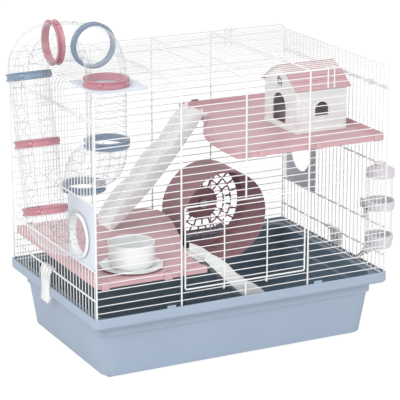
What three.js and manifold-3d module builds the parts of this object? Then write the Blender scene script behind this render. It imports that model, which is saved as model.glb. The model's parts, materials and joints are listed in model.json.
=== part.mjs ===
// A wire hamster cage: a moulded tray, a five-sided wire cage that clips onto it, two inner
// floors with ramps, a house, a running wheel, a bowl, a water bottle and a run of clear tubes.
// Millimetres, +Z up. The cage is laid out about the middle of the tray rim, whose top edge is
// z = 0, with the front towards -Y, and the finished group is then stood on z = 0.
import * as THREE from 'three';
import * as BufferGeometryUtils from 'three/addons/utils/BufferGeometryUtils.js';
import Module from 'manifold-3d';

const wasm = await Module();
wasm.setup();

// Clearances
const fitGap = 0.3;
const swingGap = 0.15;
const overrun = 5;
const weldBite = 0.5;
const mergeDistance = 0.0001;

// Tray
const trayWidth = 590;
const trayDepth = 396;
const trayHeight = 125;
const trayWall = 3;
const rimDrop = 17.5;
const rimLedgeWidth = 17.6;
const rimLedgeDrop = 7;
const bandHeight = 41;
const bandStep = 3.4;
const trayTaper = 10;
const rimCornerRadius = 8;
const rimInnerCornerRadius = 2;
const bodyCornerRadius = 22;
const footHeight = 4;
const footLength = 52;
const footWidth = 34;
const footSetback = 9;
const footDraw = 1.5;
const rimTabWidth = 17;
const rimTabHeight = 4.5;
const rimTabThickness = 4;
const rimTabSpacing = 148;

// Cage wires
const frameWire = 3.4;
const mainWire = 3.2;
const doorWire = 3;
const hingeWire = 2.6;
const thinWireRadius = 1.3;
const cageHeight = 398;
const wireSlack = 0.6;
const frontPitches = 30;
const sidePitches = 29;
const mainSpacing = 127;
const panelCornerRadius = 14;
const roofBend = 12;
const sideTopDrop = 52.7;
const portTopMargin = 30.3;
const portBottomMargin = 14.6;
const railHeight = 31.3;
const portWireCount = 8;
const rightPortSteps = 1;

// Front door and roof door
const doorSideGap = 7;
const doorFrameGap = 6.3;
const doorTopGap = 4.2;
const doorHingeSpacing = 43;
const doorLatchRise = 12;
const doorSillNumber = 2;
const doorLintelNumber = 14;
const roofDoorHingeSpacing = 24;
const roofDoorFrontWireCount = 6;
const roofDoorBackWireCount = 22;
const roofDoorLatchReach = 5.5;

// Panel hooks, panel clips and tray clips
const hookWire = 2.4;
const hookSpread = 12.8;
const hookShift = 4;
const hookPlateGap = 25;
const hookDrop = 34;
const hookReach = 7;
const trayClipSteps = 1;
const panelClipNumber = 4;
const panelClipShare = 0.677;
const panelClipWall = 2;
const trayClipWidth = 40;
const trayClipWall = 3.6;
const trayClipTail = 13;
const trayClipGrip = 2.6;
const trayClipSlot = 5;

// Tubes and rings
const tubeRadius = 36;
const tubeWall = 2;
const ringProud = 4;
const ringGrooveProud = 1.4;
const ringHeight = 13;
const ringFlange = 2.5;
const bendClearance = 16;
const tubeSides = 12;
const elbowSteps = 4;
const straightRunShare = 0.5;
const portInwardStep = 3;
const portHeight = 135;
const portCentreOut = 3;
const portFlangeThickness = 4;
const portCollarLength = 8;
const roofPortSideGap = 0.65;
const roofPortFrontGap = 2.65;
const roofRingRise = 9.1;
const innerRingDrop = 107.6;
const roofPlateMargin = 16;
const roofPlateStepX = 6;
const roofPlateStepY = 4;
const plateThickness = 2.2;
const plateCornerRadius = 7;

// Floors inside the cage
const floorSkirt = 12.5;
const floorWall = 2;
const floorPlate = 2.5;
const upperFloorRim = 8;
const lowerFloorRim = 0;
const floorEdgeGap = 2.3;
const upperFloorNumber = 20;
const upperFloorRise = 0.8;
const lowerFloorNumber = 5;
const lowerFloorRise = 2.2;
const floorTabWidth = 15;
const floorTabDrop = 14;
const floorLip = 2.4;

// Ramps
const rampWidth = 64;
const upperRampInset = 85.35;
const upperRampTopShare = 0.1676;
const upperRampFootShare = -0.4994;
const lowerRampInset = 56.35;
const lowerRampTopShare = -0.2305;
const lowerRampFootShare = 0.5308;
const rampPlate = 2.5;
const rampLip = 12;
const rampRailWall = 2.2;
const rampRailHigh = 26;
const rampRailLow = 16;
const rampBelly = 14;
const rampLobes = 3;
const rampLobeSteps = 4;
const rampRungHeight = 1.6;
const rampRungs = 11;

// Running wheel
const wheelPlaceShare = 0.3457;
const wheelZ = 60;
const wheelRadius = 88;
const wheelWall = 2.2;
const wheelDepth = 101;
const wheelBackRoom = 13.35;
const wheelHubRadius = 29;
const wheelBossRadius = 11;
const wheelBossLength = 8;
const wheelWindowInner = 33;
const wheelWindowOuter = 79;
const wheelWindows = 12;
const wheelSpokeWidth = 7;
const wheelSides = 24;
const axleRadius = 4;
const axleCapRadius = 9;
const axleCapThickness = 3;
const bearingGap = 0.5;
const bracketWidth = 44;
const bracketHeight = 58;
const bracketThickness = 3;
const bracketBossRadius = 12;

// House
const houseSideInset = 29.35;
const houseFrontInset = 87.35;
const houseLength = 104;
const houseWidth = 120;
const houseWall = 2.2;
const houseEaveShare = 0.599;
const houseBreakShare = 0.7577;
const houseBreakInset = 32;
const houseRidgeShare = 0.8443;
const plinthHeight = 11;
const plinthStep = 2;
const houseRoofWall = 2.4;
const houseRoofEaveOverhang = 6;
const houseRoofGableOverhang = 6;
const houseRoofEaveDrop = 3;
const houseDoorWidth = 48;
const houseDoorShare = 0.6506;
const houseDoorSill = 11;
const houseDoorOffset = 5;
const houseWindowWidth = 28;
const houseWindowHeight = 26;
const houseWindowSill = 30.5;
const roundWindowRadius = 9.5;
const roundWindowShare = 0.7479;

// Bowl and saucer
const bowlInset = 91.35;
const bowlFrontInset = 56.35;
const bowlRadius = 42;
const bowlHeight = 44;
const bowlWall = 3;
const bowlFootRadius = 36;
const bowlSides = 16;
const saucerRadius = 56.5;
const saucerHeight = 5;
const saucerWall = 2.5;
const saucerLipHeight = 3;

// Water bottle
const bottleStandOff = 32.9;
const bottleRadius = 25.2;
const bottleSides = 14;
const bottleWall = 1.6;
const bottleBottom = 48.3;
const bottleTop = 160.6;
const bottleNeckRadius = 21.5;
const bottleNeckLength = 11;
const bottleCapRadius = 27.3;
const bottleCapHeight = 26.4;
const bottleFootHeight = 24.8;
const bottleCapWall = 3;
const bottleCapTopRadius = 16;
const bottleFootRadius = 24;
const spoutRadius = 4.2;
const spoutBore = 3.4;
const spoutSides = 8;
const spoutLength = 48;
const spoutReach = 17.7;
const spoutTipZ = 5;
const spoutSlopeAngle = 32;
const spoutBallRadius = 3;
const holderWall = 2.6;
const holderHeight = 16;
const holderCentre = 107;
const holderPlateWidth = 40;
const holderPlateAbove = 12;
const holderPlateBelow = 7;
const holderLegWidth = 14;
const holderWireNumber = 5;

// Derived places
const wireInset = trayWall + wireSlack + frameWire / 2;
const wireX = trayWidth / 2 - wireInset;
const wireY = trayDepth / 2 - wireInset;
const cageBottom = -rimLedgeDrop + fitGap + frameWire / 2;
const cageTop = cageHeight - frameWire / 2;
const thinOffset = mainWire / 2 - weldBite + thinWireRadius;
const thinBack = thinWireRadius / 2;
const frontPitch = (cageTop - cageBottom) / frontPitches;
const sidePitch = 2 * wireY / sidePitches;
const roofThinZ = cageTop - thinOffset;
const sideTopHeight = cageHeight - sideTopDrop;
const roofRailZ = sideTopHeight + frameWire + fitGap;
const innerFaceX = wireX - thinOffset - thinBack;
const innerFaceY = wireY - thinOffset - thinBack;
const sideEnd = innerFaceY - fitGap;
const upperFloorTop = wireHeight(upperFloorNumber) + upperFloorRise;
const lowerFloorTop = wireHeight(lowerFloorNumber) + lowerFloorRise;
const trayFloorTop = -(trayHeight - footHeight) + trayWall;
const floorX = innerFaceX - fitGap;
const floorY = innerFaceY - floorEdgeGap;
const doorHalfWidth = mainSpacing - doorSideGap;
const portTopHeight = portHeight + tubeRadius + portTopMargin;
const portBottomHeight = portHeight - tubeRadius - portBottomMargin;
const ringRadius = tubeRadius + ringProud;
const ringBore = tubeRadius - tubeWall;
const ringGrooveRadius = tubeRadius + ringGrooveProud;
const bendRadius = tubeRadius + bendClearance;
const portPlateEnd = -sideWireY(portWireCount + 1) + thinWireRadius + fitGap;
const portPlateHalf = (sideEnd - portPlateEnd) / 2;
const portPlateY = (sideEnd + portPlateEnd) / 2;
const portPlateZ = (portTopHeight + portBottomHeight) / 2;
const portY = portInwardStep - portPlateY;
const rightPortFirst = sidePitches - portWireCount - rightPortSteps;
const rightPortLast = sidePitches - rightPortSteps - 1;
const rightPlateY = (sideWireY(rightPortFirst - 1) + sideWireY(rightPortLast + 1)) / 2;
const roofPortX = ringRadius + roofPortSideGap - innerFaceX;
const roofPortY = ringRadius + roofPortFrontGap - innerFaceY;
const roofPlateX = roofPortX + roofPlateStepX;
const roofPlateY = roofPortY + roofPlateStepY;
const roofPlateHalf = tubeRadius + roofPlateMargin;
const hookSpacing = -roofPlateX - roofPlateHalf - hookPlateGap;
const roofRingHeight = cageHeight + roofRingRise;
const innerRingHeight = roofRingHeight - innerRingDrop;
const wheelX = floorX * wheelPlaceShare;
const wheelFrontY = sideEnd - wheelBackRoom - wheelDepth;
const houseX = floorX - houseSideInset - houseLength;
const houseY = houseFrontInset - floorY;
const upperRoom = roofThinZ - upperFloorTop + upperFloorRim;
const houseEave = upperRoom * houseEaveShare;
const houseBreak = upperRoom * houseBreakShare;
const houseRidge = upperRoom * houseRidgeShare;
const houseDoorHeight = houseEave * houseDoorShare;
const roundWindowHeight = houseRidge * roundWindowShare;
const bowlX = bowlInset - floorX;
const bowlY = bowlFrontInset - floorY;
const bottleX = wireX + bottleStandOff;
const bottleY = sideWireY(holderWireNumber) + sidePitch / 2;

const X = new THREE.Vector3(1, 0, 0);
const Y = new THREE.Vector3(0, 1, 0);
const Z = new THREE.Vector3(0, 0, 1);

// Height of the k-th level wire of the front and back panels, counted from the tray
function wireHeight(k) {
  return cageBottom + k * frontPitch;
}

// Depth place of the k-th upright wire of the side panels, counted from the front
function sideWireY(k) {
  return -wireY + k * sidePitch;
}

function at(x, y, z) {
  return new THREE.Vector3(x, y, z);
}

// Materials
const finishes = {
  tray: { color: 0xa8b8cb, roughness: 0.45, metalness: 0 },
  wire: { color: 0xf4f4f4, roughness: 0.35, metalness: 0.1 },
  clip: { color: 0xf6f6f6, roughness: 0.4, metalness: 0 },
  pink: { color: 0xd7a5af, roughness: 0.45, metalness: 0 },
  mauve: { color: 0xaf8794, roughness: 0.5, metalness: 0 },
  ringBlue: { color: 0x7d8fa3, roughness: 0.4, metalness: 0 },
  ringPink: { color: 0xb97d8a, roughness: 0.4, metalness: 0 },
  plate: { color: 0xdae2f0, roughness: 0.4, metalness: 0 },
  clear: { color: 0xf2f6f8, roughness: 0.05, metalness: 0, transparent: true, opacity: 0.35 },
  house: { color: 0xebe9e8, roughness: 0.5, metalness: 0 },
  bowl: { color: 0xf0f2f2, roughness: 0.15, metalness: 0 },
  lilac: { color: 0xe4dee8, roughness: 0.4, metalness: 0 },
  steel: { color: 0xc8c8c8, roughness: 0.25, metalness: 1 },
};

const cage = new THREE.Group();

function addPiece(name, geometry, finish) {
  const mesh = new THREE.Mesh(geometry, new THREE.MeshStandardMaterial(finishes[finish]));
  mesh.name = name;
  cage.add(mesh);
  return mesh;
}

// A closed solid from a geometry: only positions kept, shared corners merged, and triangles
// that collapse at a pole left out
function solid(geometry) {
  const bare = new THREE.BufferGeometry();
  bare.setAttribute('position', geometry.getAttribute('position').clone());
  if (geometry.index) bare.setIndex(geometry.index.clone());
  const merged = BufferGeometryUtils.mergeVertices(bare, mergeDistance);
  const corners = [];
  for (let i = 0; i < merged.index.count; i += 3) {
    const [a, b, c] = [merged.index.getX(i), merged.index.getX(i + 1), merged.index.getX(i + 2)];
    if (a !== b && b !== c && c !== a) corners.push(a, b, c);
  }
  return new wasm.Manifold(new wasm.Mesh({
    numProp: 3,
    vertProperties: new Float32Array(merged.attributes.position.array),
    triVerts: new Uint32Array(corners),
  }));
}

function geometryOf(body) {
  const mesh = body.getMesh();
  const geometry = new THREE.BufferGeometry();
  geometry.setAttribute('position', new THREE.BufferAttribute(mesh.vertProperties, 3));
  geometry.setIndex(new THREE.BufferAttribute(mesh.triVerts, 1));
  geometry.computeVertexNormals();
  return geometry;
}

function join(geometries) {
  return geometries.map(solid).reduce((whole, next) => whole.add(next));
}

function cut(body, geometries) {
  return geometries.reduce((left, geometry) => left.subtract(solid(geometry)), body);
}

// A box given by its lowest and highest corners
function block(low, high) {
  const size = high.clone().sub(low);
  const middle = high.clone().add(low).multiplyScalar(1 / 2);
  return new THREE.BoxGeometry(size.x, size.y, size.z).translate(middle.x, middle.y, middle.z);
}

// Turns a geometry built along +Y so that it runs along a direction, and moves it to a point
function stand(geometry, point, direction) {
  const turn = new THREE.Quaternion().setFromUnitVectors(Y, direction.clone().normalize());
  return geometry.applyQuaternion(turn).translate(point.x, point.y, point.z);
}

// A round rod from one point to another
function rod(from, to, radius, sides = tubeSides) {
  const length = from.distanceTo(to);
  const geometry = new THREE.CylinderGeometry(radius, radius, length, sides);
  const middle = from.clone().add(to).multiplyScalar(1 / 2);
  return stand(geometry, middle, to.clone().sub(from));
}

// A turned body: the profile's pairs are [radius, distance along the axis]
function turned(profile, point, direction, sides = tubeSides) {
  const points = profile.map(([radius, along]) => new THREE.Vector2(radius, along));
  return stand(new THREE.LatheGeometry(points, sides), point, direction);
}

// Pairs as points that run the wanted way round
function wound(pairs, clockwise) {
  const points = pairs.map(([a, b]) => new THREE.Vector2(a, b));
  return THREE.ShapeUtils.isClockWise(points) === clockwise ? points : points.reverse();
}

// An outline of [u, v] pairs pushed along w = u x v from an origin
function pushed(outline, holes, u, v, origin, depth) {
  const shape = new THREE.Shape(wound(outline, false));
  for (const hole of holes) shape.holes.push(new THREE.Path(wound(hole, true)));
  const geometry = new THREE.ExtrudeGeometry(shape, { depth, bevelEnabled: false });
  const w = u.clone().cross(v);
  const frame = new THREE.Matrix4().makeBasis(u, v, w).setPosition(origin);
  return geometry.applyMatrix4(frame);
}

function circle(radius, sides = tubeSides, centre = [0, 0]) {
  return Array.from({ length: sides }, (_, i) => {
    const angle = 2 * Math.PI * i / sides;
    return [centre[0] + radius * Math.cos(angle), centre[1] + radius * Math.sin(angle)];
  });
}

// The cross-section of a wire as [towards, across] pairs. Three sides give a point towards the
// wire that it is welded to, and four sides give a square wire of that thickness.
function wireSection(size, sides) {
  if (sides === 3) {
    return circle(size, 3);
  }
  const half = size / 2;
  return [[half, -half], [half, half], [-half, half], [-half, -half]];
}

// A wire bent in one plane, mitred at its corners. The section's first direction is
// side x tangent, and side is square to the plane of the bends.
function bentWire(points, side, section, closed = false) {
  const count = points.length;
  const last = closed ? count : count - 1;
  const tangents = [];
  for (let i = 0; i < last; i += 1) {
    tangents.push(points[(i + 1) % count].clone().sub(points[i]).normalize());
  }
  const positions = [];
  for (let i = 0; i < count; i += 1) {
    const before = closed ? tangents[(i + count - 1) % count] : tangents[Math.max(i - 1, 0)];
    const after = closed ? tangents[i] : tangents[Math.min(i, last - 1)];
    const first = side.clone().cross(before);
    const second = side.clone().cross(after);
    const mitre = first.clone().add(second).normalize();
    mitre.divideScalar(mitre.dot(first));
    for (const [n, b] of section) {
      const corner = points[i].clone().addScaledVector(mitre, n).addScaledVector(side, b);
      positions.push(corner.x, corner.y, corner.z);
    }
  }
  const around = section.length;
  const index = [];
  for (let i = 0; i < last; i += 1) {
    const here = i * around;
    const next = ((i + 1) % count) * around;
    for (let j = 0; j < around; j += 1) {
      const k = (j + 1) % around;
      index.push(here + j, here + k, next + k, here + j, next + k, next + j);
    }
  }
  if (!closed) {
    const end = (count - 1) * around;
    for (let j = 1; j < around - 1; j += 1) {
      index.push(0, j + 1, j, end, end + j, end + j + 1);
    }
  }
  const geometry = new THREE.BufferGeometry();
  geometry.setAttribute('position', new THREE.Float32BufferAttribute(positions, 3));
  geometry.setIndex(index);
  return geometry;
}

// A straight thin wire, its point turned towards the thicker wires that it is welded to
function thinWire(from, to, towards) {
  const tangent = to.clone().sub(from).normalize();
  return bentWire([from, to], tangent.clone().cross(towards), wireSection(thinWireRadius, 3));
}

// A straight square wire
function thickWire(from, to, size, towards) {
  const tangent = to.clone().sub(from).normalize();
  return bentWire([from, to], tangent.clone().cross(towards), wireSection(size, 4));
}

// A rectangle of points with its four corners rounded, each in the given number of steps
function roundedRectangle(halfWidth, halfHeight, radius, steps, centre = [0, 0]) {
  const outline = [];
  const corners = [[1, 1], [-1, 1], [-1, -1], [1, -1]];
  corners.forEach(([sx, sy], quarter) => {
    for (let i = 0; i <= steps; i += 1) {
      const angle = Math.PI / 2 * (quarter + i / steps);
      outline.push([
        centre[0] + sx * (halfWidth - radius) + radius * Math.cos(angle),
        centre[1] + sy * (halfHeight - radius) + radius * Math.sin(angle),
      ]);
    }
  });
  return outline;
}

// The tray: one rounded rectangle after another, from the middle of the underside up the
// outside, over the rim and down the inside to the floor
function trayGeometry() {
  const cornerSteps = 4;
  const bandInset = rimLedgeWidth;
  const bodyInset = bandInset + bandStep;
  const footInset = bodyInset + trayTaper;
  const underside = -(trayHeight - footHeight);
  const ledgeUnder = -rimLedgeDrop - trayWall;
  const outer = bodyCornerRadius;
  const inner = bodyCornerRadius - trayWall;
  const skirtInner = rimCornerRadius - trayWall;
  const rings = [
    [footInset, underside, outer], [bodyInset, -bandHeight, outer],
    [bandInset, -bandHeight, outer], [bandInset, ledgeUnder, outer],
    [trayWall, ledgeUnder, skirtInner], [trayWall, -rimDrop, skirtInner],
    [0, -rimDrop, rimCornerRadius], [0, 0, rimCornerRadius],
    [trayWall, 0, rimInnerCornerRadius], [trayWall, -rimLedgeDrop, rimInnerCornerRadius],
    [bandInset + trayWall, -rimLedgeDrop, inner],
    [bandInset + trayWall, -bandHeight + trayWall, inner],
    [bodyInset + trayWall, -bandHeight, inner],
    [footInset + trayWall, underside + trayWall, inner],
  ];
  const positions = [];
  const around = 4 * (cornerSteps + 1);
  for (const [inward, z, radius] of rings) {
    const outline = roundedRectangle(
      trayWidth / 2 - inward, trayDepth / 2 - inward, radius, cornerSteps,
    );
    for (const [x, y] of outline) positions.push(x, y, z);
  }
  const index = [];
  for (let i = 0; i < rings.length - 1; i += 1) {
    for (let j = 0; j < around; j += 1) {
      const k = (j + 1) % around;
      const [here, next] = [i * around, (i + 1) * around];
      index.push(here + j, here + k, next + k, here + j, next + k, next + j);
    }
  }
  const top = (rings.length - 1) * around;
  for (let j = 1; j < around - 1; j += 1) {
    index.push(0, j + 1, j, top, top + j, top + j + 1);
  }
  const shell = new THREE.BufferGeometry();
  shell.setAttribute('position', new THREE.Float32BufferAttribute(positions, 3));
  shell.setIndex(index);

  const extras = [];
  for (const sx of [-1, 1]) {
    for (const sy of [-1, 1]) {
      // A foot's sides draw in from its outer corner, so the tray stands on those four corners
      const outerX = sx * (trayWidth / 2 - footInset - footSetback);
      const outerY = sy * (trayDepth / 2 - footInset - footSetback);
      const innerX = outerX - sx * footLength;
      const innerY = outerY - sy * footWidth;
      const foot = [
        [outerX, outerY], [innerX, outerY - sy * footDraw],
        [innerX, innerY], [outerX - sx * footDraw, innerY],
      ];
      extras.push(pushed(foot, [], X, Y, at(0, 0, underside - footHeight),
        footHeight + trayWall / 2));
      const tabX = sx * rimTabSpacing;
      const tabIn = sy * (trayDepth / 2 - trayWall / 2);
      const tabOut = tabIn - sy * rimTabThickness / 2;
      extras.push(block(at(tabX - rimTabWidth / 2, Math.min(tabIn, tabOut), -trayWall),
        at(tabX + rimTabWidth / 2, Math.max(tabIn, tabOut), rimTabHeight)));
    }
  }
  return geometryOf(join([shell, ...extras]));
}

addPiece('base_tray', trayGeometry(), 'tray');

// Front and back panels. sign is -1 at the front and +1 at the back.
function panelFrame(sign) {
  const y = sign * wireY;
  const r = panelCornerRadius;
  const chamfer = r * (1 - Math.SQRT1_2);
  const right = [
    at(wireX, y, cageBottom), at(wireX, y, cageTop - r),
    at(wireX - chamfer, y, cageTop - chamfer), at(wireX - r, y, cageTop),
  ];
  const left = right.map((point) => at(-point.x, point.y, point.z)).reverse();
  return bentWire([...right, ...left], Y, wireSection(frameWire, 4), true);
}

function levelWires(sign, opening) {
  const y = sign * (wireY - thinOffset);
  const outward = Y.clone().multiplyScalar(sign);
  const wires = [];
  for (let k = 1; k < frontPitches; k += 1) {
    const z = wireHeight(k);
    if (opening && k > doorSillNumber && k < doorLintelNumber) {
      wires.push(thinWire(at(-wireX, y, z), at(-mainSpacing, y, z), outward));
      wires.push(thinWire(at(mainSpacing, y, z), at(wireX, y, z), outward));
    } else {
      wires.push(thinWire(at(-wireX, y, z), at(wireX, y, z), outward));
    }
  }
  return wires;
}

function upright(x, y, low, high) {
  return thickWire(at(x, y, low), at(x, y, high), mainWire, Y);
}

function frontPanel() {
  const y = -wireY;
  const wires = [panelFrame(-1), ...levelWires(-1, true)];
  wires.push(upright(-mainSpacing, y, cageBottom, cageTop));
  wires.push(upright(mainSpacing, y, cageBottom, cageTop));
  wires.push(upright(0, y, cageBottom, wireHeight(doorSillNumber) + mainWire / 2));
  wires.push(upright(0, y, wireHeight(doorLintelNumber) - mainWire / 2, cageTop));
  return geometryOf(join(wires));
}

function backPanel() {
  const wires = [panelFrame(1), ...levelWires(1, false)];
  for (const x of [-mainSpacing, 0, mainSpacing]) {
    wires.push(upright(x, wireY, cageBottom, cageTop));
  }
  return geometryOf(join(wires));
}

// Side panels. sign is -1 on the left and +1 on the right. The uprights stop above and below
// the port, which is at the front on the left. On the right it is near the back, a wire further
// from the corner.
function sidePanel(sign) {
  const x = sign * wireX;
  const thinX = sign * (wireX - thinOffset);
  const outward = X.clone().multiplyScalar(sign);
  const levels = [cageBottom, railHeight, portBottomHeight, portTopHeight, sideTopHeight];
  const wires = levels.map((z) => thickWire(at(x, -sideEnd, z), at(x, sideEnd, z), frameWire, X));
  for (let k = 1; k < sidePitches; k += 1) {
    const y = sideWireY(k);
    const atPort = sign < 0 ? k <= portWireCount : k >= rightPortFirst && k <= rightPortLast;
    if (atPort) {
      wires.push(thinWire(at(thinX, y, cageBottom), at(thinX, y, portBottomHeight), outward));
      wires.push(thinWire(at(thinX, y, portTopHeight), at(thinX, y, sideTopHeight), outward));
    } else {
      wires.push(thinWire(at(thinX, y, cageBottom), at(thinX, y, sideTopHeight), outward));
    }
  }
  return geometryOf(join(wires));
}

// The roof panel: hoops of thin wire over the cage, three long wires from front to back, and a
// rail along the foot of each side. The hoops are cut short round the tube and the roof door.
function roofPanel() {
  const thinX = wireX - thinOffset;
  const across = Y.clone().negate();
  const section = wireSection(thinWireRadius, 3);
  const tubeClear = tubeRadius + frameWire / 2;
  const leftLeg = [at(-thinX, 0, roofRailZ), at(-thinX, 0, roofThinZ - roofBend)];
  const leftBend = at(-thinX + roofBend, 0, roofThinZ);
  const rightLeg = [
    at(thinX - roofBend, 0, roofThinZ), at(thinX, 0, roofThinZ - roofBend), at(thinX, 0, roofRailZ),
  ];
  const wires = [];
  for (let k = 1; k < sidePitches; k += 1) {
    const y = sideWireY(k);
    const paths = [];
    const byTube = Math.abs(y - roofPortY) < tubeClear;
    const byDoor = k > roofDoorFrontWireCount && k < roofDoorBackWireCount;
    if (byTube) {
      const cutX = byDoor ? mainSpacing : roofPortX + tubeClear;
      paths.push(leftLeg, [at(cutX, 0, roofThinZ), ...rightLeg]);
    } else if (byDoor) {
      paths.push([...leftLeg, leftBend, at(-mainSpacing, 0, roofThinZ)]);
      paths.push([at(mainSpacing, 0, roofThinZ), ...rightLeg]);
    } else {
      paths.push([...leftLeg, leftBend, ...rightLeg]);
    }
    for (const path of paths) {
      wires.push(bentWire(path.map((point) => at(point.x, y, point.z)), across, section));
    }
  }
  for (const sign of [-1, 1]) {
    const x = sign * wireX;
    const mainX = sign * mainSpacing;
    wires.push(thickWire(at(x, -sideEnd, roofRailZ), at(x, sideEnd, roofRailZ), frameWire, X));
    wires.push(thickWire(at(mainX, -sideEnd, cageTop), at(mainX, sideEnd, cageTop), mainWire, Z));
  }
  const doorFront = sideWireY(roofDoorFrontWireCount) + mainWire / 2;
  const doorBack = sideWireY(roofDoorBackWireCount + 1) - mainWire / 2;
  wires.push(thickWire(at(0, -sideEnd, cageTop), at(0, doorFront, cageTop), mainWire, Z));
  wires.push(thickWire(at(0, doorBack, cageTop), at(0, sideEnd, cageTop), mainWire, Z));
  return geometryOf(join(wires));
}

addPiece('front_panel', frontPanel(), 'wire');
addPiece('back_panel', backPanel(), 'wire');
addPiece('left_side_panel', sidePanel(-1), 'wire');
addPiece('right_side_panel', sidePanel(1), 'wire');
addPiece('roof_panel', roofPanel(), 'wire');

// A wire door in its opening: a closed frame, thin cross wires, and two hinge wires whose ends
// curl round the hinge wire on one side and lie over the latch wire on the other.
// up is the door's own direction from hinge to latch, and out is away from the cage.
function wireDoor(hinge, latchReach, height, spacing, crossWires, up, out) {
  const place = (x, along, away) => hinge.clone().addScaledVector(X, x)
    .addScaledVector(up, along).addScaledVector(out, away);
  const frameAway = thinOffset;
  const wrap = thinWireRadius + fitGap + hingeWire / 2;
  const low = doorFrameGap;
  const high = height;
  const frame = [
    place(-doorHalfWidth, low, frameAway), place(doorHalfWidth, low, frameAway),
    place(doorHalfWidth, high, frameAway), place(-doorHalfWidth, high, frameAway),
  ];
  const wires = [bentWire(frame, out, wireSection(doorWire, 4), true)];
  for (const along of crossWires) {
    wires.push(thinWire(place(-doorHalfWidth, along, 0), place(doorHalfWidth, along, 0), out));
  }
  const turn = wrap / 2;
  for (const x of [-spacing, spacing]) {
    const curl = [
      place(x, height + latchReach, wrap), place(x, -turn, wrap), place(x, -wrap, turn),
      place(x, -wrap, -turn), place(x, -turn, -wrap), place(x, turn, -wrap),
    ];
    wires.push(bentWire(curl, X, wireSection(hingeWire, 4)));
  }
  return geometryOf(join(wires));
}

const frontDoorHeight = wireHeight(doorLintelNumber) - wireHeight(doorSillNumber) - doorTopGap;
const frontDoorCrossWires = [];
for (let k = doorSillNumber + 1; k < doorLintelNumber; k += 1) {
  frontDoorCrossWires.push(wireHeight(k) - wireHeight(doorSillNumber));
}
addPiece('front_door', wireDoor(
  at(0, -wireY + thinOffset, wireHeight(doorSillNumber)), doorLatchRise, frontDoorHeight,
  doorHingeSpacing, frontDoorCrossWires, Z, Y.clone().negate(),
), 'wire');

const roofDoorLength = sideWireY(roofDoorBackWireCount) - sideWireY(roofDoorFrontWireCount) - doorFrameGap;
const roofDoorCrossWires = [];
for (let k = 1; k < roofDoorBackWireCount - roofDoorFrontWireCount; k += 1) {
  roofDoorCrossWires.push(k * sidePitch);
}
addPiece('roof_door', wireDoor(
  at(0, sideWireY(roofDoorBackWireCount), roofThinZ), roofDoorLatchReach + doorFrameGap, roofDoorLength,
  roofDoorHingeSpacing, roofDoorCrossWires, Y.clone().negate(), Z,
), 'wire');

// The hooks that hold the front and back panels to the roof: a bent wire staple over the
// panel's top wire, its two arms hanging down outside the panel
function panelHook(x, sign) {
  const reach = frameWire * Math.SQRT1_2 + swingGap + hookWire / 2;
  const y = sign * wireY;
  const path = (px) => [
    at(px, y - sign * hookReach, cageTop - reach / 2),
    at(px, y - sign * hookReach, cageTop + reach),
    at(px, y + sign * reach, cageTop + reach),
    at(px, y + sign * reach, cageTop - hookDrop),
  ];
  const arms = [-1, 1].map((end) => path(x + end * hookSpread / 2));
  const wires = arms.map((arm) => bentWire(arm, X, wireSection(hookWire, 4)));
  wires.push(thickWire(arms[0][0], arms[1][0], hookWire, Z));
  return geometryOf(join(wires));
}

for (const [side, sign] of [['front', -1], ['back', 1]]) {
  addPiece(`${side}_hook_left`, panelHook(hookShift - hookSpacing, sign), 'wire');
  addPiece(`${side}_hook_right`, panelHook(hookShift + hookSpacing, sign), 'wire');
}

// The clips that hold the roof rail to the side panel's top rail, a C open towards the cage
function panelClip(sign, y) {
  const inner = frameWire / 2 + fitGap;
  const outer = inner + panelClipWall;
  const low = sideTopHeight;
  const high = roofRailZ;
  const outline = [
    [inner, low - outer], [inner, low - inner], [-inner, low - inner], [-inner, high + inner],
    [inner, high + inner], [inner, high + outer], [-outer, high + outer], [-outer, low - outer],
  ];
  const mirrored = outline.map(([u, v]) => [sign * (wireX - u), v]);
  const length = sidePitch * panelClipShare;
  return pushed(mirrored, [], X, Z, at(0, y + length / 2, 0), length);
}

for (const [side, sign] of [['left', -1], ['right', 1]]) {
  const clipY = sideWireY(panelClipNumber) + sidePitch / 2;
  for (const [end, y] of [['front', clipY], ['back', -clipY]]) {
    const clip = solid(panelClip(sign, y));
    addPiece(`panel_clip_${side}_${end}`, geometryOf(clip), 'clip');
  }
}

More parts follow.
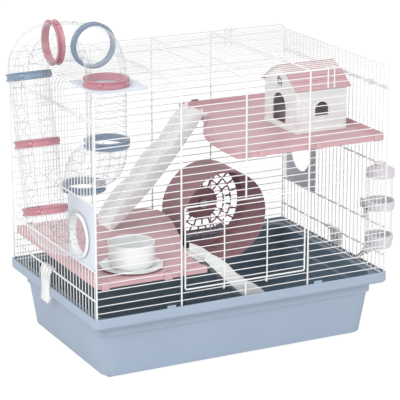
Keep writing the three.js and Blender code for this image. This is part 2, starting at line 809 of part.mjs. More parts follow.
// The clips that hold the cage to the tray: each wraps the side panel's rail, passes outside
// the rim and grips under it. Slots let it swing past the side panel's uprights.
function trayClip(sign) {
  const y = sideWireY((sidePitches + 1) / 2 - sign * trayClipSteps);
  const inner = frameWire * Math.SQRT1_2 + swingGap;
  const outer = inner + trayClipWall / 2;
  const rimFace = trayWidth / 2 + fitGap;
  const armOuter = rimFace + trayClipWall;
  const gripTop = -rimDrop - 2 * fitGap;
  const outline = [
    [wireX - inner, railHeight - inner], [wireX - outer, railHeight - inner],
    [wireX - outer, railHeight + outer], [wireX + outer, railHeight + outer],
    [armOuter, railHeight - outer], [armOuter, gripTop],
    [armOuter + trayClipWall / 2, gripTop - trayClipTail],
    [rimFace + trayClipWall / 2, gripTop - trayClipTail],
    [rimFace - trayClipGrip, gripTop - trayClipGrip],
    [rimFace - trayClipGrip, gripTop], [rimFace, gripTop], [rimFace, railHeight - 2 * outer],
    [wireX + inner, railHeight - inner], [wireX + inner, railHeight + inner],
    [wireX - inner, railHeight + inner],
  ].map(([u, v]) => [sign * u, v]);
  const body = solid(pushed(outline, [], X, Z, at(0, y + trayClipWidth / 2, 0), trayClipWidth));
  const slot = (slotY, far, low) => {
    const ends = [sign * (wireX - outer - overrun), sign * far];
    return block(
      at(Math.min(...ends), slotY - trayClipSlot / 2, low),
      at(Math.max(...ends), slotY + trayClipSlot / 2, railHeight + outer + overrun),
    );
  };
  const slots = [-1, 0, 1].flatMap((step) => {
    const slotY = y + step * sidePitch;
    return [
      slot(slotY, wireX + inner, railHeight - 2 * outer),
      slot(slotY, wireX + outer + overrun, railHeight + inner / 4),
    ];
  });
  return geometryOf(cut(body, slots));
}

addPiece('tray_clip_left', trayClip(-1), 'clip');
addPiece('tray_clip_right', trayClip(1), 'clip');

// Port plates. Both side plates are the same part, and the right one is turned upside down, so
// its hole is as far above the middle as the left one's is below it.
function sidePortPlate(sign) {
  const halfHeight = (portTopHeight - portBottomHeight - frameWire) / 2 - fitGap;
  const plateY = sign < 0 ? -portPlateY : rightPlateY;
  const turn = ([u, v]) => [-plateY - u, portPlateZ - sign * v];
  const outline = roundedRectangle(portPlateHalf, halfHeight, plateCornerRadius, 2, [0, 0]);
  const hole = circle(tubeRadius + fitGap, tubeSides, [portInwardStep, portHeight - portPlateZ]);
  const body = pushed(outline.map(turn), [hole.map(turn)], Y.clone().negate(), Z,
    at(sign * wireX + plateThickness / 2, 0, 0), plateThickness);
  return geometryOf(solid(body));
}

function roofPortPlate() {
  const half = roofPlateHalf;
  const outline = roundedRectangle(half, half, plateCornerRadius, 2, [roofPlateX, roofPlateY]);
  const hole = circle(tubeRadius + fitGap, tubeSides, [roofPortX, roofPortY]);
  const z = cageHeight + fitGap;
  return geometryOf(solid(pushed(outline, [hole], X, Y, at(0, 0, z), plateThickness)));
}

addPiece('left_port_plate', sidePortPlate(-1), 'plate');
addPiece('right_port_plate', sidePortPlate(1), 'plate');
addPiece('roof_port_plate', roofPortPlate(), 'plate');

// Tube run: rings at the ends of bends of one radius, clear tubes between them
const halfRing = ringHeight / 2 + fitGap;
const bend = bendRadius - halfRing;
const roofRing = at(roofPortX, roofPortY, roofRingHeight);
const cornerRing = roofRing.clone().add(at(0, bendRadius, bendRadius));
const sideRing = cornerRing.clone().add(at(-bendRadius, bendRadius, 0));
const portRing = at(-(wireX + plateThickness / 2 + fitGap + portCentreOut), portY, portHeight);
const columnUp = at(0, sideRing.y - portRing.y, sideRing.z - portRing.z).normalize();
const columnTop = sideRing.clone().add(at(-bendRadius, 0, 0)).addScaledVector(columnUp, -bendRadius);
const columnFootY = portRing.clone().addScaledVector(columnUp, bendRadius);
const columnFoot = at(columnTop.x, columnFootY.y, columnFootY.z);
const columnMiddle = columnTop.clone().lerp(columnFoot, straightRunShare);
const innerRing = at(roofPortX, roofPortY, innerRingHeight);
const exitRing = innerRing.clone().add(at(0, 2 * bendRadius, -2 * bendRadius));

function tubeRing(centre, direction) {
  const half = ringHeight / 2;
  const groove = half - ringFlange;
  const profile = [
    [ringBore, -half], [ringRadius, -half], [ringRadius, -groove], [ringGrooveRadius, -groove],
    [ringGrooveRadius, groove], [ringRadius, groove], [ringRadius, half], [ringBore, half],
    [ringBore, -half],
  ];
  return geometryOf(solid(turned(profile, centre, direction)));
}

class Arc extends THREE.Curve {
  constructor(start, along, towards, radius) {
    super();
    Object.assign(this, { start, along, towards, radius });
  }

  getPoint(t, target = new THREE.Vector3()) {
    const angle = t * Math.PI / 2;
    return target.copy(this.start)
      .addScaledVector(this.along, this.radius * Math.sin(angle))
      .addScaledVector(this.towards, this.radius * (1 - Math.cos(angle)));
  }
}

function tubeAlong(path, steps) {
  const section = new THREE.Shape(circle(tubeRadius).map(([a, b]) => new THREE.Vector2(a, b)));
  const bore = circle(tubeRadius - tubeWall).map(([a, b]) => new THREE.Vector2(a, b));
  section.holes.push(new THREE.Path(bore));
  const geometry = new THREE.ExtrudeGeometry(section, { steps, extrudePath: path });
  return geometryOf(solid(geometry));
}

function straightTube(from, to) {
  const along = to.clone().sub(from).normalize().multiplyScalar(halfRing);
  return tubeAlong(new THREE.LineCurve3(from.clone().add(along), to.clone().sub(along)), 1);
}

function elbow(centre, along, towards) {
  const start = centre.clone().addScaledVector(along, halfRing);
  return tubeAlong(new Arc(start, along, towards, bend), elbowSteps);
}

const left = X.clone().negate();
const front = Y.clone().negate();
const down = Z.clone().negate();
const columnDown = columnUp.clone().negate();

// The port's elbow starts with a short straight lead out of the port ring
function portElbow() {
  const start = at(portRing.x - portFlangeThickness / 2 - fitGap, portRing.y, portRing.z);
  const turnStart = at(columnFoot.x + bend, portRing.y, portRing.z);
  const arc = new Arc(turnStart, left, columnUp, bend);
  const path = new THREE.CurvePath();
  path.add(new THREE.LineCurve3(start, turnStart));
  path.add(arc);
  return tubeAlong(path, elbowSteps + 1);
}

// The tube inside the cage drops, runs back and drops again
function innerBend() {
  const start = innerRing.clone().addScaledVector(down, halfRing);
  const firstEnd = start.clone().addScaledVector(down, bend).addScaledVector(Y, bend);
  const secondStart = firstEnd.clone().addScaledVector(Y, 2 * halfRing);
  const path = new THREE.CurvePath();
  path.add(new Arc(start, down, Y, bend));
  path.add(new THREE.LineCurve3(firstEnd, secondStart));
  path.add(new Arc(secondStart, Y, down, bend));
  return tubeAlong(path, 2 * elbowSteps);
}

// The port ring: a flange outside the plate and a collar through its hole
function portCollar() {
  const face = portFlangeThickness / 2;
  const profile = [
    [ringBore, -face], [ringRadius, -face], [ringRadius, face], [tubeRadius, face],
    [tubeRadius, face + portCollarLength], [ringBore, face + portCollarLength], [ringBore, -face],
  ];
  return geometryOf(solid(turned(profile, portRing, X)));
}

addPiece('left_port_ring', portCollar(), 'clip');
addPiece('port_elbow_tube', portElbow(), 'clear');
addPiece('ring_column_foot', tubeRing(columnFoot, columnUp), 'ringPink');
addPiece('column_tube_lower', straightTube(columnFoot, columnMiddle), 'clear');
addPiece('ring_column_middle', tubeRing(columnMiddle, columnUp), 'ringPink');
addPiece('column_tube_upper', straightTube(columnMiddle, columnTop), 'clear');
addPiece('ring_column_top', tubeRing(columnTop, columnUp), 'ringBlue');
addPiece('top_elbow_tube', elbow(sideRing, left, columnDown), 'clear');
addPiece('ring_side', tubeRing(sideRing, X), 'ringPink');
addPiece('corner_elbow_tube', elbow(sideRing, X, front), 'clear');
addPiece('ring_corner', tubeRing(cornerRing, Y), 'ringBlue');
addPiece('roof_elbow_tube', elbow(cornerRing, front, down), 'clear');
addPiece('ring_roof', tubeRing(roofRing, Z), 'ringPink');
addPiece('drop_tube', straightTube(roofRing, innerRing), 'clear');
addPiece('ring_inner', tubeRing(innerRing, Z), 'ringBlue');
addPiece('inner_bend_tube', innerBend(), 'clear');
addPiece('ring_exit', tubeRing(exitRing, Z), 'ringBlue');

// Floors: a plate with a wall round its edge, below it on the lower floor and standing up as a
// rim on the upper one, and tabs that hook over a level wire

// An outline moved inwards by a distance, corner by corner
function inset(outline, distance) {
  return outline.map(([x, y], i) => {
    const [px, py] = outline[(i + outline.length - 1) % outline.length];
    const [nx, ny] = outline[(i + 1) % outline.length];
    const before = new THREE.Vector2(-(y - py), x - px).normalize();
    const after = new THREE.Vector2(-(ny - y), nx - x).normalize();
    const mitre = before.clone().add(after).normalize();
    mitre.multiplyScalar(distance / mitre.dot(before));
    return [x + mitre.x, y + mitre.y];
  });
}

function floorTab(x, sign, wire) {
  const face = sign * sideEnd;
  const root = sign * (floorY - floorWall / 2);
  const lipOut = sign * (wireY - thinOffset + thinBack);
  const lipLow = wireHeight(wire) + thinWireRadius + fitGap;
  const low = lipLow - floorTabDrop;
  const box = (y0, y1, z0, z1) => block(
    at(x - floorTabWidth / 2, Math.min(y0, y1), z0), at(x + floorTabWidth / 2, Math.max(y0, y1), z1),
  );
  return [box(root, face, low, lipLow + floorLip), box(root, lipOut, lipLow, lipLow + floorLip)];
}

function floorBody(shares, top, rim, wire, tabShares) {
  const outline = shares.map(([a, b]) => [a * floorX, b * floorY]);
  const body = solid(pushed(outline, [], X, Y, at(0, 0, top - floorSkirt), floorSkirt));
  const inner = inset(outline, floorWall);
  const pockets = [pushed(inner, [], X, Y,
    at(0, 0, top - floorSkirt - overrun), floorSkirt - rim - floorPlate + overrun)];
  if (rim > 0) pockets.push(pushed(inner, [], X, Y, at(0, 0, top - rim), rim + overrun));
  const hollow = cut(body, pockets);
  const tabs = tabShares.flatMap(([share, sign]) => floorTab(share * floorX, sign, wire));
  const pieces = tabs.map(solid);
  return pieces.reduce((whole, next) => whole.add(next), hollow);
}

// Floor outlines as shares of the half width and half depth, and tabs as a share of the half
// width and the side they are on
const upperFloorShares = [
  [-0.05, -1], [1, -1], [1, 1], [0.188, 1], [0.21, 0.8], [0.18, 0.336], [0.085, 0.133],
  [-0.012, -0.187], [-0.045, -0.56], [-0.052, -0.854],
];
const upperTabShares = [[0.119, -1], [0.524, -1], [0.95, -1], [0.314, 1], [0.943, 1]];
const lowerFloorShares = [
  [-1, -1], [-0.251, -1], [-0.279, -0.923], [-0.265, -0.592], [-0.217, -0.363], [-0.154, -0.117],
  [-0.091, 0.171], [-0.028, 0.48], [-0.007, 0.673], [0, 0.827], [-0.042, 0.939], [-0.112, 1],
  [-1, 1],
];
const lowerTabShares = [[-0.946, -1], [-0.524, -1], [-0.908, 1], [-0.314, 1]];

addPiece('upper_floor', geometryOf(
  floorBody(upperFloorShares, upperFloorTop, upperFloorRim, upperFloorNumber, upperTabShares),
), 'pink');
addPiece('lower_floor', geometryOf(
  floorBody(lowerFloorShares, lowerFloorTop, lowerFloorRim, lowerFloorNumber, lowerTabShares),
), 'pink');

// Ramps: one moulding used twice, a sloping plate with rungs between two scalloped rails, and
// a flat lip that lies on the floor above. The side view is drawn and pushed across.
function ramp(topX, footX, y, topZ, footZ) {
  const top = at(topX, 0, topZ + fitGap);
  const foot = at(footX, 0, footZ + fitGap);
  const lipEnd = topX + Math.sign(topX - footX) * rampLip;
  const lip = [[lipEnd, top.z], [lipEnd, top.z + rampPlate]];
  const half = rampWidth / 2;
  const across = (outline, from, to) => pushed(outline, [], X, Z, at(0, y + to, 0), to - from);

  const plate = [
    [foot.x, foot.z], [top.x, top.z], ...lip, [top.x, top.z + rampPlate],
    [foot.x, foot.z + rampPlate],
  ];
  const steps = rampLobes * rampLobeSteps;
  const edge = (rise) => Array.from({ length: steps + 1 }, (_, i) => {
    const point = foot.clone().lerp(top, i / steps);
    return [point.x, point.z + rise(i / steps)];
  });
  const belly = edge((t) => -rampBelly * Math.sin(Math.PI * t));
  const scallops = edge((t) => rampRailLow
    + (rampRailHigh - rampRailLow) * Math.abs(Math.sin(Math.PI * rampLobes * t)));
  const rail = [...belly, ...lip, [top.x, top.z + rampPlate], ...scallops.reverse()];

  const bodies = [
    across(plate, -half, half),
    across(rail, -half, rampRailWall - half),
    across(rail, half - rampRailWall, half),
  ];
  for (let i = 1; i < rampRungs; i += 1) {
    const point = foot.clone().lerp(top, i / rampRungs);
    const surface = point.z + rampPlate;
    bodies.push(block(
      at(point.x - rampRungHeight / 2, y - half + rampRailWall / 2, surface - rampPlate / 2),
      at(point.x + rampRungHeight / 2, y + half - rampRailWall / 2, surface + rampRungHeight),
    ));
  }
  return geometryOf(join(bodies));
}

addPiece('upper_ramp', ramp(
  upperRampTopShare * floorX, upperRampFootShare * floorX, floorY - upperRampInset,
  upperFloorTop, lowerFloorTop,
), 'clip');
addPiece('lower_ramp', ramp(
  lowerRampTopShare * floorX, lowerRampFootShare * floorX, lowerRampInset - floorY,
  lowerFloorTop, trayFloorTop,
), 'clip');

// Running wheel: a drum open at the front, with a windowed back and a boss on its hub
function wheelDrum() {
  const back = wheelDepth;
  const profile = [
    [axleRadius + bearingGap, back - wheelBossLength], [wheelBossRadius, back - wheelBossLength],
    [wheelBossRadius, back - wheelWall], [wheelRadius - wheelWall, back - wheelWall],
    [wheelRadius - wheelWall, 0], [wheelRadius, 0], [wheelRadius, back],
    [axleRadius + bearingGap, back], [axleRadius + bearingGap, back - wheelBossLength],
  ];
  const centre = at(wheelX, wheelFrontY, wheelZ);
  const drum = solid(turned(profile, centre, Y, wheelSides));
  const windows = [];
  for (let i = 0; i < wheelWindows; i += 1) {
    const angle = 2 * Math.PI * i / wheelWindows;
    const half = Math.PI / wheelWindows;
    const corner = (radius, turn) => [
      radius * Math.cos(angle + turn), radius * Math.sin(angle + turn),
    ];
    const innerTurn = half - wheelSpokeWidth / 2 / wheelWindowInner;
    const outerTurn = half - wheelSpokeWidth / 2 / wheelWindowOuter;
    const outline = [
      corner(wheelWindowInner, -innerTurn), corner(wheelWindowOuter, -outerTurn),
      corner(wheelWindowOuter, outerTurn), corner(wheelWindowInner, innerTurn),
    ];
    windows.push(pushed(outline, [], X, Z, at(wheelX, wheelFrontY + back + overrun, wheelZ),
      wheelWall + 2 * overrun));
  }
  return geometryOf(cut(drum, windows));
}

const wheelBackY = wheelFrontY + wheelDepth;

function wheelAxle() {
  const start = wheelBackY - wheelBossLength - fitGap - axleCapThickness;
  const length = sideEnd - bracketThickness - fitGap - start;
  const profile = [
    [0, 0], [axleCapRadius, 0], [axleCapRadius, axleCapThickness], [axleRadius, axleCapThickness],
    [axleRadius, length], [0, length],
  ];
  return geometryOf(solid(turned(profile, at(wheelX, start, wheelZ), Y)));
}

// The bracket lies against the back wires, with a socketed boss for the axle and two lips that
// hook over a level wire
function wheelBracket() {
  const plateBack = sideEnd;
  const plateFront = plateBack - bracketThickness;
  const bossFront = wheelBackY + fitGap;
  const wire = Math.floor((wheelZ + bracketHeight / 2 - cageBottom) / frontPitch);
  const lipLow = wireHeight(wire) + thinWireRadius + fitGap;
  const lipOut = wireY - thinOffset + thinBack;
  const halfWidth = bracketWidth / 2;
  const bodies = [
    block(at(wheelX - halfWidth, plateFront, wheelZ - bracketHeight / 2),
      at(wheelX + halfWidth, plateBack, lipLow + floorLip)),
    block(at(wheelX - halfWidth, plateFront, lipLow),
      at(wheelX + halfWidth, lipOut, lipLow + floorLip)),
    rod(at(wheelX, bossFront, wheelZ), at(wheelX, plateBack, wheelZ), bracketBossRadius),
  ];
  const socket = rod(at(wheelX, bossFront - overrun, wheelZ), at(wheelX, plateFront, wheelZ),
    axleRadius + fitGap);
  return geometryOf(cut(join(bodies), [socket]));
}

addPiece('wheel_drum', wheelDrum(), 'mauve');
addPiece('wheel_axle', wheelAxle(), 'plate');
addPiece('wheel_bracket', wheelBracket(), 'mauve');

// House: walls with gables and a stepped roof that sits over them
const houseFloor = upperFloorTop - upperFloorRim + fitGap;

function gable(spread, lift, eaveDrop) {
  const middle = houseY + houseWidth / 2;
  const half = houseWidth / 2;
  const breakHalf = half - houseBreakInset;
  return [
    [middle - half - spread, houseFloor + houseEave - eaveDrop],
    [middle + half + spread, houseFloor + houseEave - eaveDrop],
    [middle + breakHalf + lift, houseFloor + houseBreak + lift],
    [middle, houseFloor + houseRidge + lift],
    [middle - breakHalf - lift, houseFloor + houseBreak + lift],
  ];
}

function archOutline(centre, width, height, sill) {
  const half = width / 2;
  const spring = sill + height - half;
  const outline = [[centre - half, sill], [centre + half, sill]];
  for (let i = 0; i <= elbowSteps; i += 1) {
    const angle = Math.PI * i / elbowSteps;
    outline.push([centre + half * Math.cos(angle), spring + half * Math.sin(angle)]);
  }
  return outline;
}

// The gable outline with walls below it, down to a given height
function houseSection(spread, lift, low) {
  const [frontEave, backEave, ...rest] = gable(spread, lift, 0);
  return [[frontEave[0], low], [backEave[0], low], backEave, ...rest, frontEave];
}

function houseWalls() {
  const middle = houseY + houseWidth / 2;
  const outer = pushed(houseSection(0, 0, houseFloor), [], Y, Z, at(houseX, 0, 0), houseLength);
  const plinth = block(
    at(houseX - plinthStep, houseY - plinthStep, houseFloor),
    at(houseX + houseLength + plinthStep, houseY + houseWidth + plinthStep,
      houseFloor + plinthHeight),
  );
  const room = pushed(houseSection(-houseWall, -houseWall, houseFloor - overrun), [], Y, Z,
    at(houseX + houseWall, 0, 0), houseLength - 2 * houseWall);
  const open = block(
    at(houseX + houseWall, houseY + houseWall, houseFloor + houseEave),
    at(houseX + houseLength - houseWall, houseY + houseWidth - houseWall,
      houseFloor + houseRidge + overrun),
  );
  const wallCut = houseWall + 2 * overrun;
  const doorOutline = archOutline(middle + houseDoorOffset, houseDoorWidth, houseDoorHeight,
    houseFloor + houseDoorSill);
  const door = pushed(doorOutline, [], Y, Z, at(houseX - overrun, 0, 0), wallCut);
  const roundCentre = [middle + houseDoorOffset, houseFloor + roundWindowHeight];
  const roundOutline = circle(roundWindowRadius, tubeSides, roundCentre);
  const round = pushed(roundOutline, [], Y, Z, at(houseX - overrun, 0, 0), wallCut);
  const windowOutline = archOutline(houseX + houseLength / 2, houseWindowWidth, houseWindowHeight,
    houseFloor + houseWindowSill);
  const window = pushed(windowOutline, [], X, Z, at(0, houseY + houseWall + overrun, 0), wallCut);
  return geometryOf(cut(join([outer, plinth]), [room, open, door, round, window]));
}

function houseRoof() {
  const start = houseX - houseRoofGableOverhang;
  const length = houseLength + 2 * houseRoofGableOverhang;
  const outline = gable(houseRoofEaveOverhang, houseRoofWall + fitGap, houseRoofEaveDrop);
  const body = solid(pushed(outline, [], Y, Z, at(start, 0, 0), length));
  const space = pushed(houseSection(fitGap, fitGap, houseFloor), [], Y, Z,
    at(start - overrun, 0, 0), length + 2 * overrun);
  return geometryOf(cut(body, [space]));
}

addPiece('house_walls', houseWalls(), 'house');
addPiece('house_roof', houseRoof(), 'pink');

// Bowl and saucer
function bowl() {
  const low = lowerFloorTop + 2 * fitGap + saucerWall;
  const profile = [
    [0, 0], [bowlFootRadius, 0], [bowlRadius, bowlHeight / 3], [bowlRadius, bowlHeight],
    [bowlRadius - bowlWall, bowlHeight], [bowlRadius - bowlWall, bowlHeight / 3],
    [bowlFootRadius - bowlWall, bowlWall], [0, bowlWall],
  ];
  return geometryOf(solid(turned(profile, at(bowlX, bowlY, low), Z, bowlSides)));
}

function saucer() {
  const profile = [
    [0, 0], [bowlRadius, 0], [saucerRadius, saucerLipHeight], [saucerRadius, saucerHeight],
    [bowlRadius, saucerWall], [0, saucerWall],
  ];
  return geometryOf(solid(turned(profile, at(bowlX, bowlY, lowerFloorTop + fitGap), Z, bowlSides)));
}

addPiece('saucer', saucer(), 'bowl');
addPiece('food_bowl', bowl(), 'bowl');

// Water bottle outside the right side, with its holder hooked over the side panel's wire
const capBore = bottleNeckRadius + fitGap;

function bottleBody() {
  const neckTop = bottleTop + bottleNeckLength;
  const neckLow = bottleBottom - bottleNeckLength;
  const profile = [
    [bottleNeckRadius - bottleWall, neckLow], [bottleNeckRadius, neckLow],
    [bottleNeckRadius, bottleBottom], [bottleRadius, bottleBottom], [bottleRadius, bottleTop],
    [bottleNeckRadius, bottleTop], [bottleNeckRadius, neckTop],
    [bottleNeckRadius - bottleWall, neckTop], [bottleNeckRadius - bottleWall, neckLow],
  ];
  return geometryOf(solid(turned(profile, at(bottleX, bottleY, 0), Z, bottleSides)));
}

function bottleCap(rim, direction, height, endRadius) {
  const bore = bottleNeckLength + fitGap;
  const profile = [
    [0, bore], [capBore, bore], [capBore, 0], [bottleCapRadius, 0],
    [bottleCapRadius, height / 2], [endRadius, height], [0, height],
  ];
  return turned(profile, at(bottleX, bottleY, rim), direction, bottleSides);
}

const spoutSlope = spoutSlopeAngle * Math.PI / 180;
const spoutDirection = at(Math.cos(spoutSlope), 0, Math.sin(spoutSlope));
const spoutTip = at(wireX - spoutReach, bottleY, spoutTipZ);
const spoutRoot = spoutTip.clone().addScaledVector(spoutDirection, spoutLength);

function spout() {
  const profile = [
    [spoutBore, 0], [spoutRadius, 0], [spoutRadius, spoutLength], [spoutBore, spoutLength],
    [spoutBore, 0],
  ];
  return geometryOf(solid(turned(profile, spoutTip, spoutDirection, spoutSides)));
}

function lowerCap() {
  const cap = solid(bottleCap(bottleBottom - fitGap, down, bottleFootHeight, bottleFootRadius));
  const seat = spoutRoot.clone().addScaledVector(spoutDirection, fitGap);
  const hole = rod(spoutTip, seat, spoutRadius + fitGap);
  return geometryOf(cut(cap, [hole]));
}

function spoutBall() {
  const centre = spoutTip.clone().addScaledVector(spoutDirection, spoutBallRadius / 3);
  return new THREE.SphereGeometry(spoutBallRadius, 8, 6).translate(centre.x, centre.y, centre.z);
}

function bottleHolder() {
  const inner = bottleRadius + fitGap;
  const outer = inner + holderWall;
  const half = holderHeight / 2;
  const band = turned([[inner, -half], [outer, -half], [outer, half], [inner, half], [inner, -half]],
    at(bottleX, bottleY, holderCentre), Z, bottleSides);
  const plateIn = wireX + frameWire / 2 + fitGap;
  const hookLow = portBottomHeight + frameWire / 2 + fitGap;
  const plateLow = holderCentre - holderPlateBelow;
  const plateTop = holderCentre + holderPlateAbove;
  const halfPlate = holderPlateWidth / 2;
  const halfLeg = holderLegWidth / 2;
  const plate = block(at(plateIn, bottleY - halfPlate, plateLow),
    at(plateIn + holderWall, bottleY + halfPlate, plateTop));
  const leg = block(at(plateIn, bottleY - halfLeg, hookLow),
    at(plateIn + holderWall, bottleY + halfLeg, holderCentre));
  const hook = block(at(plateIn - frameWire + 2 * fitGap, bottleY - halfLeg, hookLow),
    at(plateIn + holderWall / 2, bottleY + halfLeg, hookLow + holderWall));
  const neck = block(at(plateIn, bottleY - halfPlate / 2, holderCentre - half),
    at(bottleX - inner, bottleY + halfPlate / 2, holderCentre + half));
  const bore = rod(at(bottleX, bottleY, holderCentre - holderHeight),
    at(bottleX, bottleY, holderCentre + holderHeight), inner, bottleSides);
  return geometryOf(cut(join([band, plate, leg, hook, neck]), [bore]));
}

addPiece('bottle_holder', bottleHolder(), 'lilac');
addPiece('bottle_body', bottleBody(), 'clear');
addPiece('bottle_top_cap',
  geometryOf(solid(bottleCap(bottleTop + fitGap, Z, bottleCapHeight, bottleCapTopRadius))), 'lilac');
addPiece('bottle_lower_cap', lowerCap(), 'lilac');
addPiece('bottle_spout', spout(), 'steel');
addPiece('spout_ball', spoutBall(), 'steel');

// Stand the cage on z = 0 with the middle of its outer box over the origin
const reach = new THREE.Box3().setFromObject(cage, true);
const middle = reach.getCenter(new THREE.Vector3());
cage.position.set(-middle.x, -middle.y, -reach.min.z);

export default cage;
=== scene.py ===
"""The looks of a wire hamster cage: round wires, moulded tray, floors, ramps, running wheel,
house, bowl, water bottle and clear climbing tubes.

Shapes are worked out in millimetres about the middle of the tray rim, as the solids are, and
Form.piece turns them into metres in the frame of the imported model.
"""
import json
import math

import bmesh
import bpy
import numpy as np
from mathutils import Matrix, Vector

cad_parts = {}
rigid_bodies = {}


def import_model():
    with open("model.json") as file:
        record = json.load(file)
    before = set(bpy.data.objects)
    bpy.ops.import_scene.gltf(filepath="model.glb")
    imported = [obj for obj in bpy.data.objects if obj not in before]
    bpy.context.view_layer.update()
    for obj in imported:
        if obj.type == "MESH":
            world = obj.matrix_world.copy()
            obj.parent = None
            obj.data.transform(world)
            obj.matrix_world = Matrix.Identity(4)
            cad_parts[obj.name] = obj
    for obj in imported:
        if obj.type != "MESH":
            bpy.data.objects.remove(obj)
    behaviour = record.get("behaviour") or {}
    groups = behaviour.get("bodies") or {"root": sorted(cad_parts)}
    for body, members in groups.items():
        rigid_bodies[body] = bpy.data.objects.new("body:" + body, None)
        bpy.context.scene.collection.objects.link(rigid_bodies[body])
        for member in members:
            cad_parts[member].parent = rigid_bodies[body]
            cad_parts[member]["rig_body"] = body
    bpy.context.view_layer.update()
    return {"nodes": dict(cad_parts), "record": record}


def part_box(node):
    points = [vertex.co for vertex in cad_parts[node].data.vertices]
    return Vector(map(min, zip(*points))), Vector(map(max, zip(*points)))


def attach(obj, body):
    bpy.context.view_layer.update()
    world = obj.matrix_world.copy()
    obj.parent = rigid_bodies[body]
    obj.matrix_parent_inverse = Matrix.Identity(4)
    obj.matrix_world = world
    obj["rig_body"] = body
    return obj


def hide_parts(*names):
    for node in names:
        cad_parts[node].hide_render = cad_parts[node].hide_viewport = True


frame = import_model()

MM = 0.001
MERGE = 1e-6
CREASE = math.radians(38)

# Tray
TRAY_WIDTH = 590.0
TRAY_DEPTH = 396.0
TRAY_HEIGHT = 125.0
TRAY_WALL = 3.0
RIM_DROP = 17.5
LEDGE_WIDTH = 17.6
LEDGE_DROP = 7.0
BAND_HEIGHT = 41.0
BAND_STEP = 3.4
TRAY_TAPER = 10.0
RIM_CORNER = 9.0
RIM_INNER_CORNER = 3.0
BODY_CORNER = 24.0
FOOT_HEIGHT = 4.0
FOOT_LENGTH = 52.0
FOOT_WIDTH = 34.0
FOOT_SETBACK = 9.0
RIM_TAB = (17.0, 4.0, 4.5)
RIM_TAB_SPACING = 148.0

# Wires
FRAME_WIRE = 3.4
MAIN_WIRE = 3.2
DOOR_WIRE = 3.0
HINGE_WIRE = 2.6
HOOK_WIRE = 2.4
THIN_RADIUS = 0.9
CAGE_HEIGHT = 398.0
WIRE_X = TRAY_WIDTH / 2 - TRAY_WALL - 0.6 - FRAME_WIRE / 2
WIRE_Y = TRAY_DEPTH / 2 - TRAY_WALL - 0.6 - FRAME_WIRE / 2
CAGE_BOTTOM = -5.0
CAGE_TOP = CAGE_HEIGHT - FRAME_WIRE / 2
THIN_OFFSET = 2.4
THIN_X = WIRE_X - THIN_OFFSET
THIN_Y = WIRE_Y - THIN_OFFSET
FRONT_PITCHES = 30
SIDE_PITCHES = 29
FRONT_PITCH = (CAGE_TOP - CAGE_BOTTOM) / FRONT_PITCHES
SIDE_PITCH = 2 * WIRE_Y / SIDE_PITCHES
SIDE_END = 189.35
MAIN_SPACING = 127.0
PANEL_CORNER = 14.0
ROOF_BEND = 16.0
SIDE_TOP = 345.3
PORT_TOP = 201.3
PORT_BOTTOM = 84.4
RAIL_HEIGHT = 31.3
PORT_WIRES = 8
ROOF_Z = CAGE_TOP - THIN_OFFSET
ROOF_RAIL = SIDE_TOP + FRAME_WIRE + 0.3

# Tubes
TUBE_RADIUS = 36.0
TUBE_BORE = 34.0
RING_RADIUS = 40.0
RING_HEIGHT = 13.0
BEND = 52.0
HALF_RING = RING_HEIGHT / 2 + 0.3
TUBE_BEND = BEND - HALF_RING

X = np.array([1.0, 0.0, 0.0])
Y = np.array([0.0, 1.0, 0.0])
Z = np.array([0.0, 0.0, 1.0])

tray_low, tray_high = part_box("base_tray")
ORIGIN = np.array([
    (tray_low.x + tray_high.x) / 2, (tray_low.y + tray_high.y) / 2, tray_low.z + TRAY_HEIGHT * MM,
])


# Colours and shader maths

def linear(red, green, blue):
    """A screen colour of 0 to 255 as the linear colour that a shader takes."""
    share = np.array([red, green, blue]) / 255
    curve = np.where(share <= 0.04045, share / 12.92, ((share + 0.055) / 1.055) ** 2.4)
    return (*curve.tolist(), 1.0)


class Value:
    """A socket of a material. Sums and products of values add Math nodes."""

    def __init__(self, finish, socket):
        self.finish = finish
        self.socket = socket

    def maths(self, operation, *inputs):
        return self.finish.node("ShaderNodeMath", {"operation": operation}, dict(enumerate(inputs)))

    def __add__(self, other):
        return self.maths("ADD", self, other)

    def __sub__(self, other):
        return self.maths("SUBTRACT", self, other)

    def __rsub__(self, other):
        return self.maths("SUBTRACT", other, self)

    def __mul__(self, other):
        return self.maths("MULTIPLY", self, other)

    def __pow__(self, other):
        return self.maths("POWER", self, other)

    def absolute(self):
        return self.maths("ABSOLUTE", self)

    def near(self, reach):
        """1 where the value is within a reach of 0, and 0 elsewhere."""
        return self.maths("LESS_THAN", self.absolute(), reach)

    def largest(self, other):
        return self.maths("MAXIMUM", self, other)

    __radd__ = __add__
    __rmul__ = __mul__


